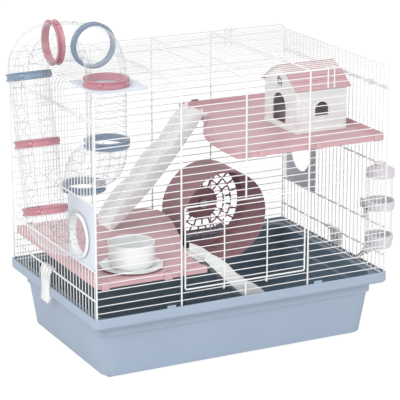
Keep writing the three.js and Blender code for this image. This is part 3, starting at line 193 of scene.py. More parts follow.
class Finish:
    """A material, or the world, that is being built, one node at a time."""

    def __init__(self, name, world=None):
        self.material = world or bpy.data.materials.new(name)
        self.material.use_nodes = True
        self.tree = self.material.node_tree
        self.tree.nodes.clear()

    def node(self, kind, settings=None, inputs=None, output=0):
        made = self.tree.nodes.new(kind)
        for key, value in (settings or {}).items():
            setattr(made, key, value)
        for key, value in (inputs or {}).items():
            if isinstance(value, Value):
                self.tree.links.new(value.socket, made.inputs[key])
            else:
                made.inputs[key].default_value = value
        return Value(self, made.outputs[output])

    def noise(self, scale, detail=3.0, roughness=0.55):
        """Soft noise about the object's own coordinates, from 0 to 1, scale in waves a metre."""
        place = self.node("ShaderNodeTexCoord", output="Object")
        return self.node("ShaderNodeTexNoise", None, {
            "Vector": place, "Scale": scale, "Detail": detail, "Roughness": roughness,
        })

    def pattern(self, axis):
        """One number of the pattern that the shapes carry."""
        place = self.node("ShaderNodeAttribute", {"attribute_name": "pattern"}, None, "Vector")
        return self.node("ShaderNodeSeparateXYZ", None, {0: place}, axis)

    def blend(self, share, first, second):
        """Two colours mixed by a share."""
        return self.node("ShaderNodeMix", {"data_type": "RGBA"}, {0: share, 6: first, 7: second}, 2)

    def bump(self, height, depth):
        """A normal from a height, its depth in metres."""
        return self.node("ShaderNodeBump", None, {
            "Height": height, "Distance": depth, "Strength": 1.0,
        })

    def shown(self, shader, output="ShaderNodeOutputMaterial"):
        """The material with this shader as its surface."""
        made = self.tree.nodes.new(output)
        self.tree.links.new(shader.socket, made.inputs["Surface"])
        return self.material

    def surface(self, inputs):
        return self.shown(self.node("ShaderNodeBsdfPrincipled", None, inputs))


def moulded(name, colour, roughness=0.42, grain=0.00006, shade=0.95, coat=0.0, inner=None):
    """Moulded plastic: a colour that drifts a little over the piece, a fine spark-eroded grain,
    and a gloss that varies with it. The pattern attribute's z is 1 where the inner colour is, a
    painted shade that stands for the shade deep inside a piece."""
    finish = Finish(name)
    drift = finish.noise(9.0, 2.0)
    grainy = finish.noise(1400.0, 2.0)
    dark = linear(*(np.array(colour) * shade))
    tint = finish.blend(drift, linear(*colour), dark)
    # Painted shade: where the pattern's z is 1, the tint gives way to the darker inner colour.
    if inner:
        tint = finish.blend(finish.pattern(2), tint, linear(*inner))
    return finish.surface({
        "Base Color": tint,
        "Roughness": grainy * 0.12 + (roughness - 0.06),
        "Coat Weight": coat,
        "Coat Roughness": 0.25,
        "Normal": finish.bump(grainy, grain),
    })


def satin(name, colour, scale, detail, gloss, depth, coat=0.0):
    """A nearly plain coat or glaze. Its roughness, gloss[0] noise + gloss[1], and its bumps
    follow one noise."""
    finish = Finish(name)
    wave = finish.noise(scale, detail)
    return finish.surface({
        "Base Color": finish.blend(wave, linear(*colour), linear(*(np.array(colour) * 0.985))),
        "Roughness": wave * gloss[0] + gloss[1],
        "Coat Weight": coat,
        "Coat Roughness": 0.08,
        "Normal": finish.bump(wave, depth),
    })


def clear_plastic(name, colour, thin, edge):
    """Clear moulded plastic: see-through straight on, and whiter where it is seen along its
    wall, by alpha = thin + edge * facing^3. Fine moulded lines come from the pattern attribute
    (x, y, z): in a band where x < 1 each unit of y is a square with a cross, a diamond or bars,
    and further lines run where z passes a whole number."""
    finish = Finish(name)
    facing = finish.node("ShaderNodeLayerWeight", None, {"Blend": 0.5}, "Facing")
    wave = finish.noise(45.0, 2.0)
    x, y, z = (finish.pattern(axis) for axis in range(3))
    slant = (y.maths("FRACT", y) * 2.0 - 1.0).absolute()
    kind = y.maths("FLOORED_MODULO", y.maths("FLOOR", y), 3.0)
    cross = (x - slant).near(0.1) * kind.near(0.5)
    diamond = (x + slant - 1.0).near(0.1) * (kind - 1.0).near(0.5)
    bars = (x - 0.4).near(0.07) * (kind - 2.0).near(0.5)
    frame_lines = (x - 1.0).near(0.07).largest((slant - 1.0).near(0.1))
    inside = x.maths("LESS_THAN", x, 1.08)
    further = (z.maths("FRACT", z) - 0.5).near(0.07)
    lines = cross.largest(diamond).largest(bars).largest(frame_lines) * inside
    lines = lines.largest(further)
    return finish.surface({
        "Base Color": finish.blend(lines, linear(*colour), linear(96, 100, 104)),
        "Roughness": wave * 0.04 + 0.06,
        "Alpha": facing ** 3.0 * edge + lines * LINE_STRENGTH + thin,
        "Normal": finish.bump(wave, 0.0003),
    })


def bright_steel(name):
    """Bright steel with faint marks from the draw bench."""
    finish = Finish(name)
    marks = finish.noise(900.0, 2.0)
    return finish.surface({
        "Base Color": linear(205, 206, 208),
        "Metallic": 1.0,
        "Roughness": marks * 0.12 + 0.16,
    })


LINE_STRENGTH = 0.17
FINISHES = {
    # The tray's inner colour is painted shade: the inside of the deep tray is drawn darker than its
    # plastic, for the shade that falls there.
    "tray": moulded("tray plastic", (168, 184, 203), 0.4, coat=0.15, inner=(112, 134, 150)),
    "wire": satin("wire powder coat", (240, 241, 241), 700.0, 1.0, (0.1, 0.3), 0.00004),
    "white_plastic": moulded("white plastic", (247, 248, 248), 0.38),
    "pink": moulded("pink plastic", (215, 175, 181), 0.45),
    "mauve": moulded("wheel plastic", (184, 142, 152), 0.46),
    "ring_blue": moulded("blue ring plastic", (127, 145, 166), 0.34, coat=0.3),
    "ring_pink": moulded("rose ring plastic", (190, 130, 142), 0.34, coat=0.3),
    "port_plate": moulded("port plate plastic", (222, 229, 240), 0.4),
    "clear": clear_plastic("clear tube plastic", (240, 243, 245), 0.03, 0.5),
    "house": moulded("house plastic", (243, 247, 246), 0.45),
    "bowl": satin("bowl glaze", (241, 243, 243), 60.0, 2.0, (0.05, 0.1), 0.0001, coat=0.5),
    "lilac": moulded("bottle cap plastic", (232, 227, 234), 0.38),
    "steel": bright_steel("spout steel"),
}
SLOTS = {part["node"]: part["material_slot"] for part in frame["record"]["subparts"]}


# Surfaces

NO_PATTERN = np.array([5.0, 0.5, 0.0])
# Marks where the tray's painted shade colour goes: z = 1 picks the darker inner colour.
PAINTED_SHADE_PATTERN = np.array([5.0, 0.5, 1.0])


class Form:
    """Surfaces gathered into one piece, in millimetres about the middle of the tray rim."""

    def __init__(self):
        self.points = []
        self.patterns = []
        self.faces = []
        self.count = 0

    def add(self, points, rows_close=False, columns_close=True, capped=False, pattern=None):
        """A grid of points, rows by columns, as four-sided faces between neighbours. Rows and
        columns may close on themselves, and flat caps may fill the first and last row. A
        pattern has three numbers for each point, for the finish to read."""
        rows, columns = points.shape[:2]
        index = self.count + np.arange(rows * columns).reshape(rows, columns)
        net = np.concatenate([index, index[:, :1]], axis=1) if columns_close else index
        net = np.concatenate([net, net[:1]], axis=0) if rows_close else net
        faces = np.stack([net[:-1, :-1], net[:-1, 1:], net[1:, 1:], net[1:, :-1]], axis=-1)
        self.faces.extend(faces.reshape(-1, 4).tolist())
        if capped:
            self.faces.append(index[0, ::-1].tolist())
            self.faces.append(index[-1].tolist())
        self.points.append(points.reshape(-1, 3))
        plain = np.full(points.shape, NO_PATTERN)
        self.patterns.append((plain if pattern is None else pattern).reshape(-1, 3))
        self.count += rows * columns
        return self

    def solid(self, points, pattern=None):
        """A surface whose first and last rows are filled."""
        return self.add(points, capped=True, pattern=pattern)

    def piece(self, *nodes, name=None):
        """Makes the piece that stands for CAD nodes, in their finish and on their body."""
        title = name or nodes[0] + "_skin"
        mesh = bpy.data.meshes.new(title)
        mesh.from_pydata((np.concatenate(self.points) * MM + ORIGIN).tolist(), [], self.faces)
        layer = mesh.attributes.new("pattern", "FLOAT_VECTOR", "POINT")
        layer.data.foreach_set("vector", np.concatenate(self.patterns).ravel())
        shell = bmesh.new()
        shell.from_mesh(mesh)
        bmesh.ops.remove_doubles(shell, verts=shell.verts, dist=MERGE)
        bmesh.ops.recalc_face_normals(shell, faces=shell.faces)
        shell.to_mesh(mesh)
        shell.free()
        mesh.polygons.foreach_set("use_smooth", np.ones(len(mesh.polygons), bool))
        mesh.set_sharp_from_angle(angle=CREASE)
        slot = SLOTS[nodes[0]]
        mesh.materials.append(FINISHES[slot])
        made = linked(title, mesh)
        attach(made, frame["nodes"][nodes[0]]["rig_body"])
        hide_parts(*nodes)
        return made


def point(*place):
    return np.array(place, float)


def linked(name, data):
    """A new object in the scene."""
    made = bpy.data.objects.new(name, data)
    bpy.context.scene.collection.objects.link(made)
    return made


def limits(node):
    """The low and high corner of a CAD node, in the same millimetres as the shapes."""
    low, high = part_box(node)
    return (np.array(low) - ORIGIN) / MM, (np.array(high) - ORIGIN) / MM


def unit(vectors):
    return vectors / np.maximum(np.linalg.norm(vectors, axis=-1, keepdims=True), 1e-12)


def square_to(direction):
    """Two directions square to a direction and to each other."""
    first = unit(np.cross(direction, X if abs(direction[0]) < 0.9 else Y))
    return first, np.cross(direction, first)


def softened(points, radius, closed=True, steps=4):
    """Corners rounded: a corner p becomes the curve (1-t)^2 a + 2t(1-t) p + t^2 b, where a and b
    lie on its two sides, radius away or half the side if that is less."""
    points = np.asarray(points, float)
    back = np.roll(points, 1, axis=0) - points
    on = np.roll(points, -1, axis=0) - points
    reach = [np.minimum(radius, np.linalg.norm(side, axis=1) / 2)[:, None] for side in (back, on)]
    first = (points + unit(back) * reach[0])[:, None]
    last = (points + unit(on) * reach[1])[:, None]
    t = np.linspace(0, 1, steps + 1)[None, :, None]
    curve = (1 - t) ** 2 * first + 2 * t * (1 - t) * points[:, None] + t ** 2 * last
    if closed:
        return curve.reshape(-1, points.shape[1])
    middle = curve[1:-1].reshape(-1, points.shape[1])
    return np.concatenate([points[:1], middle, points[-1:]])


def distinct(outline):
    """The outline without points that repeat their neighbour."""
    apart = np.linalg.norm(outline - np.roll(outline, 1, axis=0), axis=1) > 1e-4
    return outline[apart]


def anticlockwise(outline):
    outline = distinct(np.asarray(outline, float))
    x, y = outline.T
    area = np.sum(x * np.roll(y, -1) - np.roll(x, -1) * y)
    return outline if area > 0 else outline[::-1]


def moved_in(outline, distance):
    """An anticlockwise outline moved inwards: each point goes along the middle of its two
    sides' normals, so far that the sides move by the distance."""
    before = unit(outline - np.roll(outline, 1, axis=0))
    after = unit(np.roll(outline, -1, axis=0) - outline)
    turn = np.array([[0.0, 1.0], [-1.0, 0.0]])
    middle = unit(before @ turn + after @ turn)
    spread = np.maximum(np.sum(middle * (before @ turn), axis=1, keepdims=True), 0.4)
    return outline + middle * distance / spread


def rounded_rectangle(half_x, half_y, radius, steps=8, centre=(0.0, 0.0)):
    """Rounded rectangles, one for each row of the half sizes and radii."""
    half_x, half_y, radius = (np.atleast_1d(a).astype(float)[:, None] for a in
                              np.broadcast_arrays(half_x, half_y, radius))
    quarter = np.repeat(np.arange(4), steps + 1)
    angle = np.pi / 2 * (quarter + np.tile(np.linspace(0, 1, steps + 1), 4))
    sign_x = np.array([1, -1, -1, 1])[quarter]
    sign_y = np.array([1, 1, -1, -1])[quarter]
    x = centre[0] + sign_x * (half_x - radius) + radius * np.cos(angle)
    y = centre[1] + sign_y * (half_y - radius) + radius * np.sin(angle)
    return np.stack([x, y], axis=-1)


def edge_rows(outline, depth, soft, steps, inwards=1.0):
    """The outline at growing depth with both edges rounded: moved in by soft (1 - sin a) where
    the depth is soft (1 - cos a)."""
    angle = np.linspace(0, np.pi / 2, steps + 1)
    inset = soft * (1 - np.sin(angle))
    lift = soft * (1 - np.cos(angle))
    insets = np.concatenate([inset, inset[::-1]]) * inwards
    lifts = np.concatenate([lift, depth - lift[::-1]])
    return np.stack([moved_in(outline, inset) for inset in insets]), lifts


def placed(rows, lifts, origin, u, v):
    w = np.cross(u, v)
    return origin + rows[..., :1] * u + rows[..., 1:] * v + lifts[:, None, None] * w


def slab(outline, origin, u, v, depth, soft=0.7, steps=2):
    """An outline in u and v pushed along u x v, with rounded edges."""
    rows, lifts = edge_rows(anticlockwise(outline), depth, soft, steps)
    return placed(rows, lifts, origin, u, v)


def around(outline, centre, angles):
    """The points of a star-shaped outline at some angles about a centre."""
    share = np.linspace(0, 1, 60, endpoint=False)[None, :, None]
    fine = (outline[:, None] * (1 - share) + np.roll(outline, -1, axis=0)[:, None] * share)
    offset = fine.reshape(-1, 2) - centre
    bearing = np.arctan2(offset[:, 1], offset[:, 0])
    radius = np.interp(angles, bearing[np.argsort(bearing)],
                       np.linalg.norm(offset, axis=1)[np.argsort(bearing)], period=2 * np.pi)
    return centre + radius[:, None] * np.stack([np.cos(angles), np.sin(angles)], axis=1)


def pierced(outline, hole, centre, origin, u, v, depth, soft=0.7, steps=2):
    """A slab with a hole: outer and inner edge have a point at the same angles about a centre,
    and the surface runs down the outside and up the inside."""
    outline = anticlockwise(outline)
    hole = anticlockwise(hole)
    centre = np.array(centre, float)
    corners = [np.arctan2(*(edge - centre).T[::-1]) for edge in (outline, hole)]
    even = np.linspace(-np.pi, np.pi, 48, endpoint=False)
    angles = np.sort(np.concatenate([*corners, even]))
    angles = angles[np.diff(angles, prepend=angles[-1] - 2 * np.pi) > 1e-3]
    outer, lifts = edge_rows(around(outline, centre, angles), depth, soft, steps)
    inner, lifts_in = edge_rows(around(hole, centre, angles), depth, soft, steps, -1.0)
    rows = np.concatenate([outer, inner[::-1]])
    return placed(rows, np.concatenate([lifts, lifts_in[::-1]]), origin, u, v)


def turned(profile, centre, direction, sides=48):
    """A profile turned about a direction. Its rows are radius and distance along, or such rows
    with a column for each angle."""
    profile = np.asarray(profile, float)
    if profile.ndim == 2:
        profile = np.repeat(profile[:, None], sides, axis=1)
    direction = unit(np.asarray(direction, float))
    first, second = square_to(direction)
    angle = np.arange(profile.shape[1]) * 2 * np.pi / profile.shape[1]
    out = np.cos(angle)[:, None] * first + np.sin(angle)[:, None] * second
    return centre + profile[..., 1:] * direction + profile[..., :1] * out


def carried(path, side, radii, angles, closed=False):
    """Circles carried along a path that bends square to side. radii has a row for each point of
    the path and a column for each angle."""
    steps = np.diff(path, axis=0, append=path[:1]) if closed else np.diff(path, axis=0)
    if closed:
        before, after = np.roll(steps, 1, axis=0), steps
    else:
        before = np.concatenate([steps[:1], steps])
        after = np.concatenate([steps, steps[-1:]])
    tangent = unit(unit(before) + unit(after))
    first = unit(np.cross(side, tangent))
    return (path[:, None] + radii[..., None] * (
        np.cos(angles)[None, :, None] * first[:, None] + np.sin(angles)[None, :, None] * side))


def wire(path, radius, side=None, closed=False, sides=8):
    """A round wire along a path."""
    path = np.asarray(path, float)
    if side is None:
        along = unit(path[-1] - path[0])
        side = unit(np.cross(along, Z if abs(along[2]) < 0.9 else X))
    angles = np.arange(sides) * 2 * np.pi / sides
    return carried(path, side, np.full((len(path), sides), radius), angles, closed)


def circle(radius, count=48, centre=(0.0, 0.0)):
    angle = np.arange(count) * 2 * np.pi / count
    return np.array(centre) + radius * np.stack([np.cos(angle), np.sin(angle)], axis=1)


# Tray

def tray():
    """Rounded rectangles from the underside up the outside, over the rim and down inside."""
    body_inset = LEDGE_WIDTH + BAND_STEP
    foot_inset = body_inset + TRAY_TAPER
    under = -(TRAY_HEIGHT - FOOT_HEIGHT)
    ledge_under = -RIM_DROP - TRAY_WALL
    inner = BODY_CORNER - TRAY_WALL
    rows = softened([
        [foot_inset + 3, under, BODY_CORNER - 3], [foot_inset, under, BODY_CORNER],
        [body_inset, -BAND_HEIGHT, BODY_CORNER], [LEDGE_WIDTH, -BAND_HEIGHT, BODY_CORNER],
        [LEDGE_WIDTH, ledge_under, BODY_CORNER], [TRAY_WALL, ledge_under, RIM_CORNER - TRAY_WALL],
        [TRAY_WALL, -RIM_DROP, RIM_CORNER - TRAY_WALL], [0, -RIM_DROP, RIM_CORNER],
        [0, 0, RIM_CORNER], [TRAY_WALL, 0, RIM_INNER_CORNER],
        [TRAY_WALL, -LEDGE_DROP, RIM_INNER_CORNER], [LEDGE_WIDTH + TRAY_WALL, -LEDGE_DROP, inner],
        [LEDGE_WIDTH + TRAY_WALL, TRAY_WALL - BAND_HEIGHT, inner],
        [body_inset + TRAY_WALL, -BAND_HEIGHT, inner],
        [foot_inset + TRAY_WALL, under + TRAY_WALL, inner],
        [foot_inset + TRAY_WALL + 3, under + TRAY_WALL, inner - 3],
    ], 1.5, closed=False, steps=3)
    inward, height, radius = rows.T
    outline = rounded_rectangle(TRAY_WIDTH / 2 - inward, TRAY_DEPTH / 2 - inward, radius, 10)
    heights = np.broadcast_to(height[:, None, None], (*outline.shape[:2], 1))
    surface = np.concatenate([outline, heights], axis=-1)
    # Past the rim, down the inside and over the floor, the tray takes the painted shade colour.
    past_rim = np.arange(len(height)) > np.flatnonzero(height > -MERGE)[-1]
    form = Form().solid(surface, np.where(past_rim[:, None, None], PAINTED_SHADE_PATTERN, NO_PATTERN)
                        + np.zeros(surface.shape))

    length, thickness, tall = RIM_TAB
    for sign_x in (-1, 1):
        for sign_y in (-1, 1):
            centre = (sign_x * (TRAY_WIDTH / 2 - foot_inset - FOOT_SETBACK - FOOT_LENGTH / 2),
                      sign_y * (TRAY_DEPTH / 2 - foot_inset - FOOT_SETBACK - FOOT_WIDTH / 2))
            pad = rounded_rectangle(FOOT_LENGTH / 2, FOOT_WIDTH / 2, 6, 5, centre)[0]
            form.solid(slab(pad, point(0, 0, under - FOOT_HEIGHT), X, Y, FOOT_HEIGHT + 1.5, 1.2))
            tab = rounded_rectangle(length / 2, tall / 2 + 1, 1.6, 4,
                                    (sign_x * RIM_TAB_SPACING, tall / 2 - 1))[0]
            low = sign_y * (TRAY_DEPTH / 2 - TRAY_WALL / 2 - thickness / 4)
            form.solid(slab(tab, point(0, low + thickness / 4, 0), X, Z, thickness / 2, 0.6))

    # Low ribs that stiffen the floor, in the same painted shade colour as the tray's inside
    floor = under + TRAY_WALL
    ribs = [((-235, y), (235, y)) for y in np.linspace(-120, 120, 5)]
    ribs += [((x, -140), (x, 140)) for x in np.linspace(-210, 210, 8)]
    for start, end in ribs:
        line = wire([point(*start, floor), point(*end, floor)], 1.2)
        form.solid(line, np.full(line.shape, PAINTED_SHADE_PATTERN))
    form.piece("base_tray")


# Wire panels

def wire_height(k):
    return CAGE_BOTTOM + k * FRONT_PITCH


def side_wire(k):
    return -WIRE_Y + k * SIDE_PITCH


def straight(form, start, end, thickness):
    form.solid(wire([point(*start), point(*end)], thickness / 2))


def end_panel(sign, opening):
    y = sign * WIRE_Y
    corners = [point(WIRE_X, y, CAGE_BOTTOM), point(WIRE_X, y, CAGE_TOP),
               point(-WIRE_X, y, CAGE_TOP), point(-WIRE_X, y, CAGE_BOTTOM)]
    radius = np.array([1.5, PANEL_CORNER, PANEL_CORNER, 1.5])
    form = Form().add(wire(softened(corners, radius, steps=8), FRAME_WIRE / 2, Y, True),
                      rows_close=True)
    thin_y = sign * THIN_Y
    for k in range(1, FRONT_PITCHES):
        z = wire_height(k)
        gap = opening and 2 < k < 14
        spans = [(-WIRE_X, -MAIN_SPACING), (MAIN_SPACING, WIRE_X)] if gap else [(-WIRE_X, WIRE_X)]
        for low, high in spans:
            straight(form, (low, thin_y, z), (high, thin_y, z), 2 * THIN_RADIUS)
    for x in (-MAIN_SPACING, MAIN_SPACING):
        straight(form, (x, y, CAGE_BOTTOM), (x, y, CAGE_TOP), MAIN_WIRE)
    if opening:
        straight(form, (0, y, CAGE_BOTTOM), (0, y, wire_height(2) + 1.6), MAIN_WIRE)
        straight(form, (0, y, wire_height(14) - 1.6), (0, y, CAGE_TOP), MAIN_WIRE)
    else:
        straight(form, (0, y, CAGE_BOTTOM), (0, y, CAGE_TOP), MAIN_WIRE)
    return form


def side_panel(sign):
    x = sign * WIRE_X
    form = Form()
    for z in (CAGE_BOTTOM, RAIL_HEIGHT, PORT_BOTTOM, PORT_TOP, SIDE_TOP):
        straight(form, (x, -SIDE_END, z), (x, SIDE_END, z), FRAME_WIRE)
    for k in range(1, SIDE_PITCHES):
        y = side_wire(k)
        at_port = 0 < k <= PORT_WIRES if sign < 0 else 0 < SIDE_PITCHES - 1 - k <= PORT_WIRES
        spans = [(CAGE_BOTTOM, PORT_BOTTOM), (PORT_TOP, SIDE_TOP)]
        for low, high in spans if at_port else [(CAGE_BOTTOM, SIDE_TOP)]:
            straight(form, (sign * THIN_X, y, low), (sign * THIN_X, y, high), 2 * THIN_RADIUS)
    return form


def roof_panel():
    """Hoops over the cage, cut short round the tube and the roof door."""
    form = Form()
    tube_clear = ROOF_TUBE[0] + TUBE_RADIUS + FRAME_WIRE / 2
    for k in range(1, SIDE_PITCHES):
        y = side_wire(k)
        full = [(-THIN_X, ROOF_RAIL), (-THIN_X, ROOF_Z), (THIN_X, ROOF_Z), (THIN_X, ROOF_RAIL)]
        paths = [full]
        if abs(y - ROOF_TUBE[1]) < TUBE_RADIUS + FRAME_WIRE / 2:
            paths = [[full[0], (-THIN_X, ROOF_Z - ROOF_BEND)], [(tube_clear, ROOF_Z), *full[2:]]]
        elif 6 < k < 22:
            paths = [[*full[:2], (-MAIN_SPACING, ROOF_Z)], [(MAIN_SPACING, ROOF_Z), *full[2:]]]
        for path in paths:
            track = softened([point(x, y, z) for x, z in path], ROOF_BEND, False, 6)
            form.solid(wire(track, THIN_RADIUS, Y))
    for sign in (-1, 1):
        side_x = sign * WIRE_X
        main_x = sign * MAIN_SPACING
        straight(form, (side_x, -SIDE_END, ROOF_RAIL), (side_x, SIDE_END, ROOF_RAIL), FRAME_WIRE)
        straight(form, (main_x, -SIDE_END, CAGE_TOP), (main_x, SIDE_END, CAGE_TOP), MAIN_WIRE)
    straight(form, (0, -SIDE_END, CAGE_TOP), (0, side_wire(6) + 1.6, CAGE_TOP), MAIN_WIRE)
    straight(form, (0, side_wire(23) - 1.6, CAGE_TOP), (0, SIDE_END, CAGE_TOP), MAIN_WIRE)
    return form


def wire_door(hinge, reach, height, spacing, crossings, up, out):
    """A closed frame, thin cross wires, and two hinge wires curled round the hinge wire."""
    def place(x, along, away):
        return hinge + X * x + up * along + out * away

    low = 6.3
    wrap = 1.3 + 0.3 + HINGE_WIRE / 2
    corners = [place(-120, low, THIN_OFFSET), place(120, low, THIN_OFFSET),
               place(120, height, THIN_OFFSET), place(-120, height, THIN_OFFSET)]
    form = Form().add(wire(softened(corners, 4, steps=5), DOOR_WIRE / 2, out, True),
                      rows_close=True)
    for along in crossings:
        form.solid(wire([place(-120, along, 0.3), place(120, along, 0.3)], THIN_RADIUS))
    for x in (-spacing, spacing):
        turn = wrap / 2
        curl = [place(x, height + reach, wrap), place(x, -turn, wrap), place(x, -wrap, turn),
                place(x, -wrap, -turn), place(x, -turn, -wrap), place(x, turn, -wrap)]
        form.solid(wire(softened(curl, 2, False, 3), HINGE_WIRE / 2, X))
    return form


def panel_hook(x, sign):
    """A bent wire staple over the panel's top wire, its two arms outside the panel."""
    reach = FRAME_WIRE * math.sqrt(0.5) + 0.15 + HOOK_WIRE / 2
    y = sign * WIRE_Y
    form = Form()
    ends = []
    for end in (-1, 1):
        at_x = x + end * 6.4
        path = [point(at_x, y - sign * 7, CAGE_TOP - reach / 2),
                point(at_x, y - sign * 7, CAGE_TOP + reach),
                point(at_x, y + sign * reach, CAGE_TOP + reach),
                point(at_x, y + sign * reach, CAGE_TOP - 34)]
        ends.append(path[0])
        form.solid(wire(softened(path, 2.6, False, 5), HOOK_WIRE / 2, X))
    form.solid(wire(ends, HOOK_WIRE / 2))
    return form


def cage_wires():
    end_panel(-1, True).piece("front_panel")
    end_panel(1, False).piece("back_panel")
    side_panel(-1).piece("left_side_panel")
    side_panel(1).piece("right_side_panel")
    roof_panel().piece("roof_panel")
    sill = wire_height(2)
    wire_door(point(0, -THIN_Y, sill), 12, wire_height(14) - sill - 4.2, 43,
              [wire_height(k) - sill for k in range(3, 14)], Z, -Y).piece("front_door")
    wire_door(point(0, side_wire(22), ROOF_Z), 5.5 + 6.3, side_wire(22) - side_wire(6) - 6.3, 24,
              [k * SIDE_PITCH for k in range(1, 16)], -Y, Z).piece("roof_door")
    for side, sign in (("front", -1), ("back", 1)):
        panel_hook(-159, sign).piece(side + "_hook_left")
        panel_hook(167, sign).piece(side + "_hook_right")


# Clips

def panel_clip(node, sign):
    start, end = (corner[1] for corner in limits(node))
    inner = FRAME_WIRE / 2 + 0.3
    outer = inner + 2
    low, high = SIDE_TOP, ROOF_RAIL
    outline = np.array([
        [inner, low - outer], [inner, low - inner], [-inner, low - inner], [-inner, high + inner],
        [inner, high + inner], [inner, high + outer], [-outer, high + outer], [-outer, low - outer],
    ])
    outline[:, 0] = sign * (WIRE_X - outline[:, 0])
    outline = softened(anticlockwise(outline), 0.9)
    Form().solid(slab(outline, point(0, end, 0), X, Z, end - start, 0.5)).piece(node)


def tray_clip(sign):
    """Four fingers wrap the side rail, and one tongue passes the rim and grips under it. The
    tongue's half width follows its height: narrow in the middle and wide at the foot."""
    y = side_wire((SIDE_PITCHES + 1) / 2 - sign)
    inner = FRAME_WIRE * math.sqrt(0.5) + 0.15
    outer = inner + 1.8
    rim = TRAY_WIDTH / 2 + 0.3
    arm = rim + 3.6
    grip = -RIM_DROP - 0.6
    loop = [
        [WIRE_X - inner, RAIL_HEIGHT - inner], [WIRE_X - outer, RAIL_HEIGHT - inner],
        [WIRE_X - outer, RAIL_HEIGHT + outer], [WIRE_X + outer, RAIL_HEIGHT + outer],
        [arm, RAIL_HEIGHT - outer], [arm, 12], [rim, 12], [rim, RAIL_HEIGHT - 2 * outer],
        [WIRE_X + inner, RAIL_HEIGHT - inner], [WIRE_X + inner, RAIL_HEIGHT + inner],
        [WIRE_X - inner, RAIL_HEIGHT + inner],
    ]
    tongue = [
        [arm, 15], [arm, grip], [arm + 1.8, grip - 13], [rim + 1.8, grip - 13],
        [rim - 2.6, grip - 2.6], [rim - 2.6, grip], [rim, grip], [rim, 15],
    ]
    mirror = np.array([sign, 1.0])
    form = Form()
    for low, high in ((-20, -15.8), (-10.8, -2.5), (2.5, 10.8), (15.8, 20)):
        outline = softened(anticlockwise(np.array(loop) * mirror), 0.9)
        form.solid(slab(outline, point(0, y + high, 0), X, Z, high - low, 0.7))
    heights = np.array([15.0, 6.0, -4.0, grip - 6, grip - 13])
    widths = np.array([20.0, 19.0, 16.0, 18.5, 16.0])
    outline = softened(anticlockwise(np.array(tongue) * mirror), 1.0)
    outline = divided(outline, 2.0)
    grid = slab(outline, point(0, y + 20, 0), X, Z, 40, 0.7)
    width = np.interp(grid[..., 2], heights[::-1], widths[::-1])
    grid[..., 1] = y + (grid[..., 1] - y) * width / 20
    form.solid(grid)
    return form


def divided(outline, step):
    """The closed outline with more points on its long sides, about a step apart."""
    following = np.roll(outline, -1, axis=0)
    counts = np.maximum(np.ceil(np.linalg.norm(following - outline, axis=1) / step), 1).astype(int)
    index = np.repeat(np.arange(len(outline)), counts)
    first = np.cumsum(counts) - counts
    share = (np.arange(counts.sum()) - first[index]) / counts[index]
    return outline[index] + (following - outline)[index] * share[:, None]


def clips():
    for side, sign in (("left", -1), ("right", 1)):
        panel_clip(f"panel_clip_{side}_front", sign)
        panel_clip(f"panel_clip_{side}_back", sign)
        tray_clip(sign).piece(f"tray_clip_{side}")


# Port plates, rings and tubes

ROOF_TUBE = (-246.0, -147.0)
PORT_Y = -129.0
PORT_Z = 135.0
roof_ring = point(*ROOF_TUBE, 407.1)
corner_ring = roof_ring + point(0, BEND, BEND)
side_ring = corner_ring + point(-BEND, BEND, 0)
port_ring = point(-(WIRE_X + 1.1 + 0.3 + 3), PORT_Y, PORT_Z)
column_up = unit(point(0, side_ring[1] - port_ring[1], side_ring[2] - port_ring[2]))
column_top = side_ring + point(-BEND, 0, 0) - column_up * BEND
column_foot = port_ring + column_up * BEND
column_foot[0] = column_top[0]
column_middle = (column_top + column_foot) / 2
inner_ring = point(*ROOF_TUBE, 299.5)
exit_ring = inner_ring + point(0, 2 * BEND, -2 * BEND)


def port_plates():
    """Flat plates with a round hole, one in each port of the wires and one on the roof."""
    for name, sign in (("left_port_plate", -1), ("right_port_plate", 1)):
        low, high = limits(name)
        middle, half = (low + high) / 2, (high - low) / 2
        hole = (PORT_Y, PORT_Z) if sign < 0 else (middle[1] + 3, 2 * middle[2] - PORT_Z)
        outline = rounded_rectangle(half[1], half[2], 7, 6, middle[1:])[0]
        form = Form()
        form.add(pierced(outline, circle(36.3, 64, hole), hole, point(middle[0] - 1.1, 0, 0), Y, Z,
                         2.2, 0.6), rows_close=True)
        if sign > 0:
            lip = softened([[36.3, -1.6], [39.5, -1.6], [39.5, 1.6], [36.3, 1.6]], 0.6)
            form.add(turned(lip, point(middle[0], *hole), X, 64), rows_close=True)
        form.piece(name)
    low, high = limits("roof_port_plate")
    middle, half = (low + high) / 2, (high - low) / 2
    outline = rounded_rectangle(half[0], half[1], 7, 6, middle[:2])[0]
    form = Form()
    form.add(pierced(outline, circle(36.3, 64, ROOF_TUBE), ROOF_TUBE, point(0, 0, low[2]), X, Y,
                     2.2, 0.7), rows_close=True)
    form.piece("roof_port_plate")


def tube_ring(node, centre, direction):
    """A spool: two flared flanges with a hollow between them, and three lugs in the hollow."""
    half = RING_HEIGHT / 2
    profile = softened([
        [34, -half], [39, -half], [RING_RADIUS, 0.6 - half], [39.6, 2 - half], [37.8, 3.6 - half],
        [37.4, 0], [37.8, half - 3.6], [39.6, half - 2], [RING_RADIUS, half - 0.6], [39, half],
        [34, half], [34.6, 0],
    ], 1.2, steps=3)
    form = Form().add(turned(profile, centre, direction, 72), rows_close=True)
    direction = unit(direction)
    first, second = square_to(direction)
    for angle in np.radians([20, 140, 260]):
        out = math.cos(angle) * first + math.sin(angle) * second
        across = np.cross(direction, out)
        lug = rounded_rectangle(4.5, 3, 1, 4)[0]
        thick = 3.0 * handed(across, direction, out)
        form.solid(slab(lug, centre + out * 36.8, across, direction, thick, 0.5))
    form.piece(node)


def handed(u, v, out):
    """1 where u x v points out, and -1 where it points in."""
    return 1.0 if np.dot(np.cross(u, v), out) > 0 else -1.0


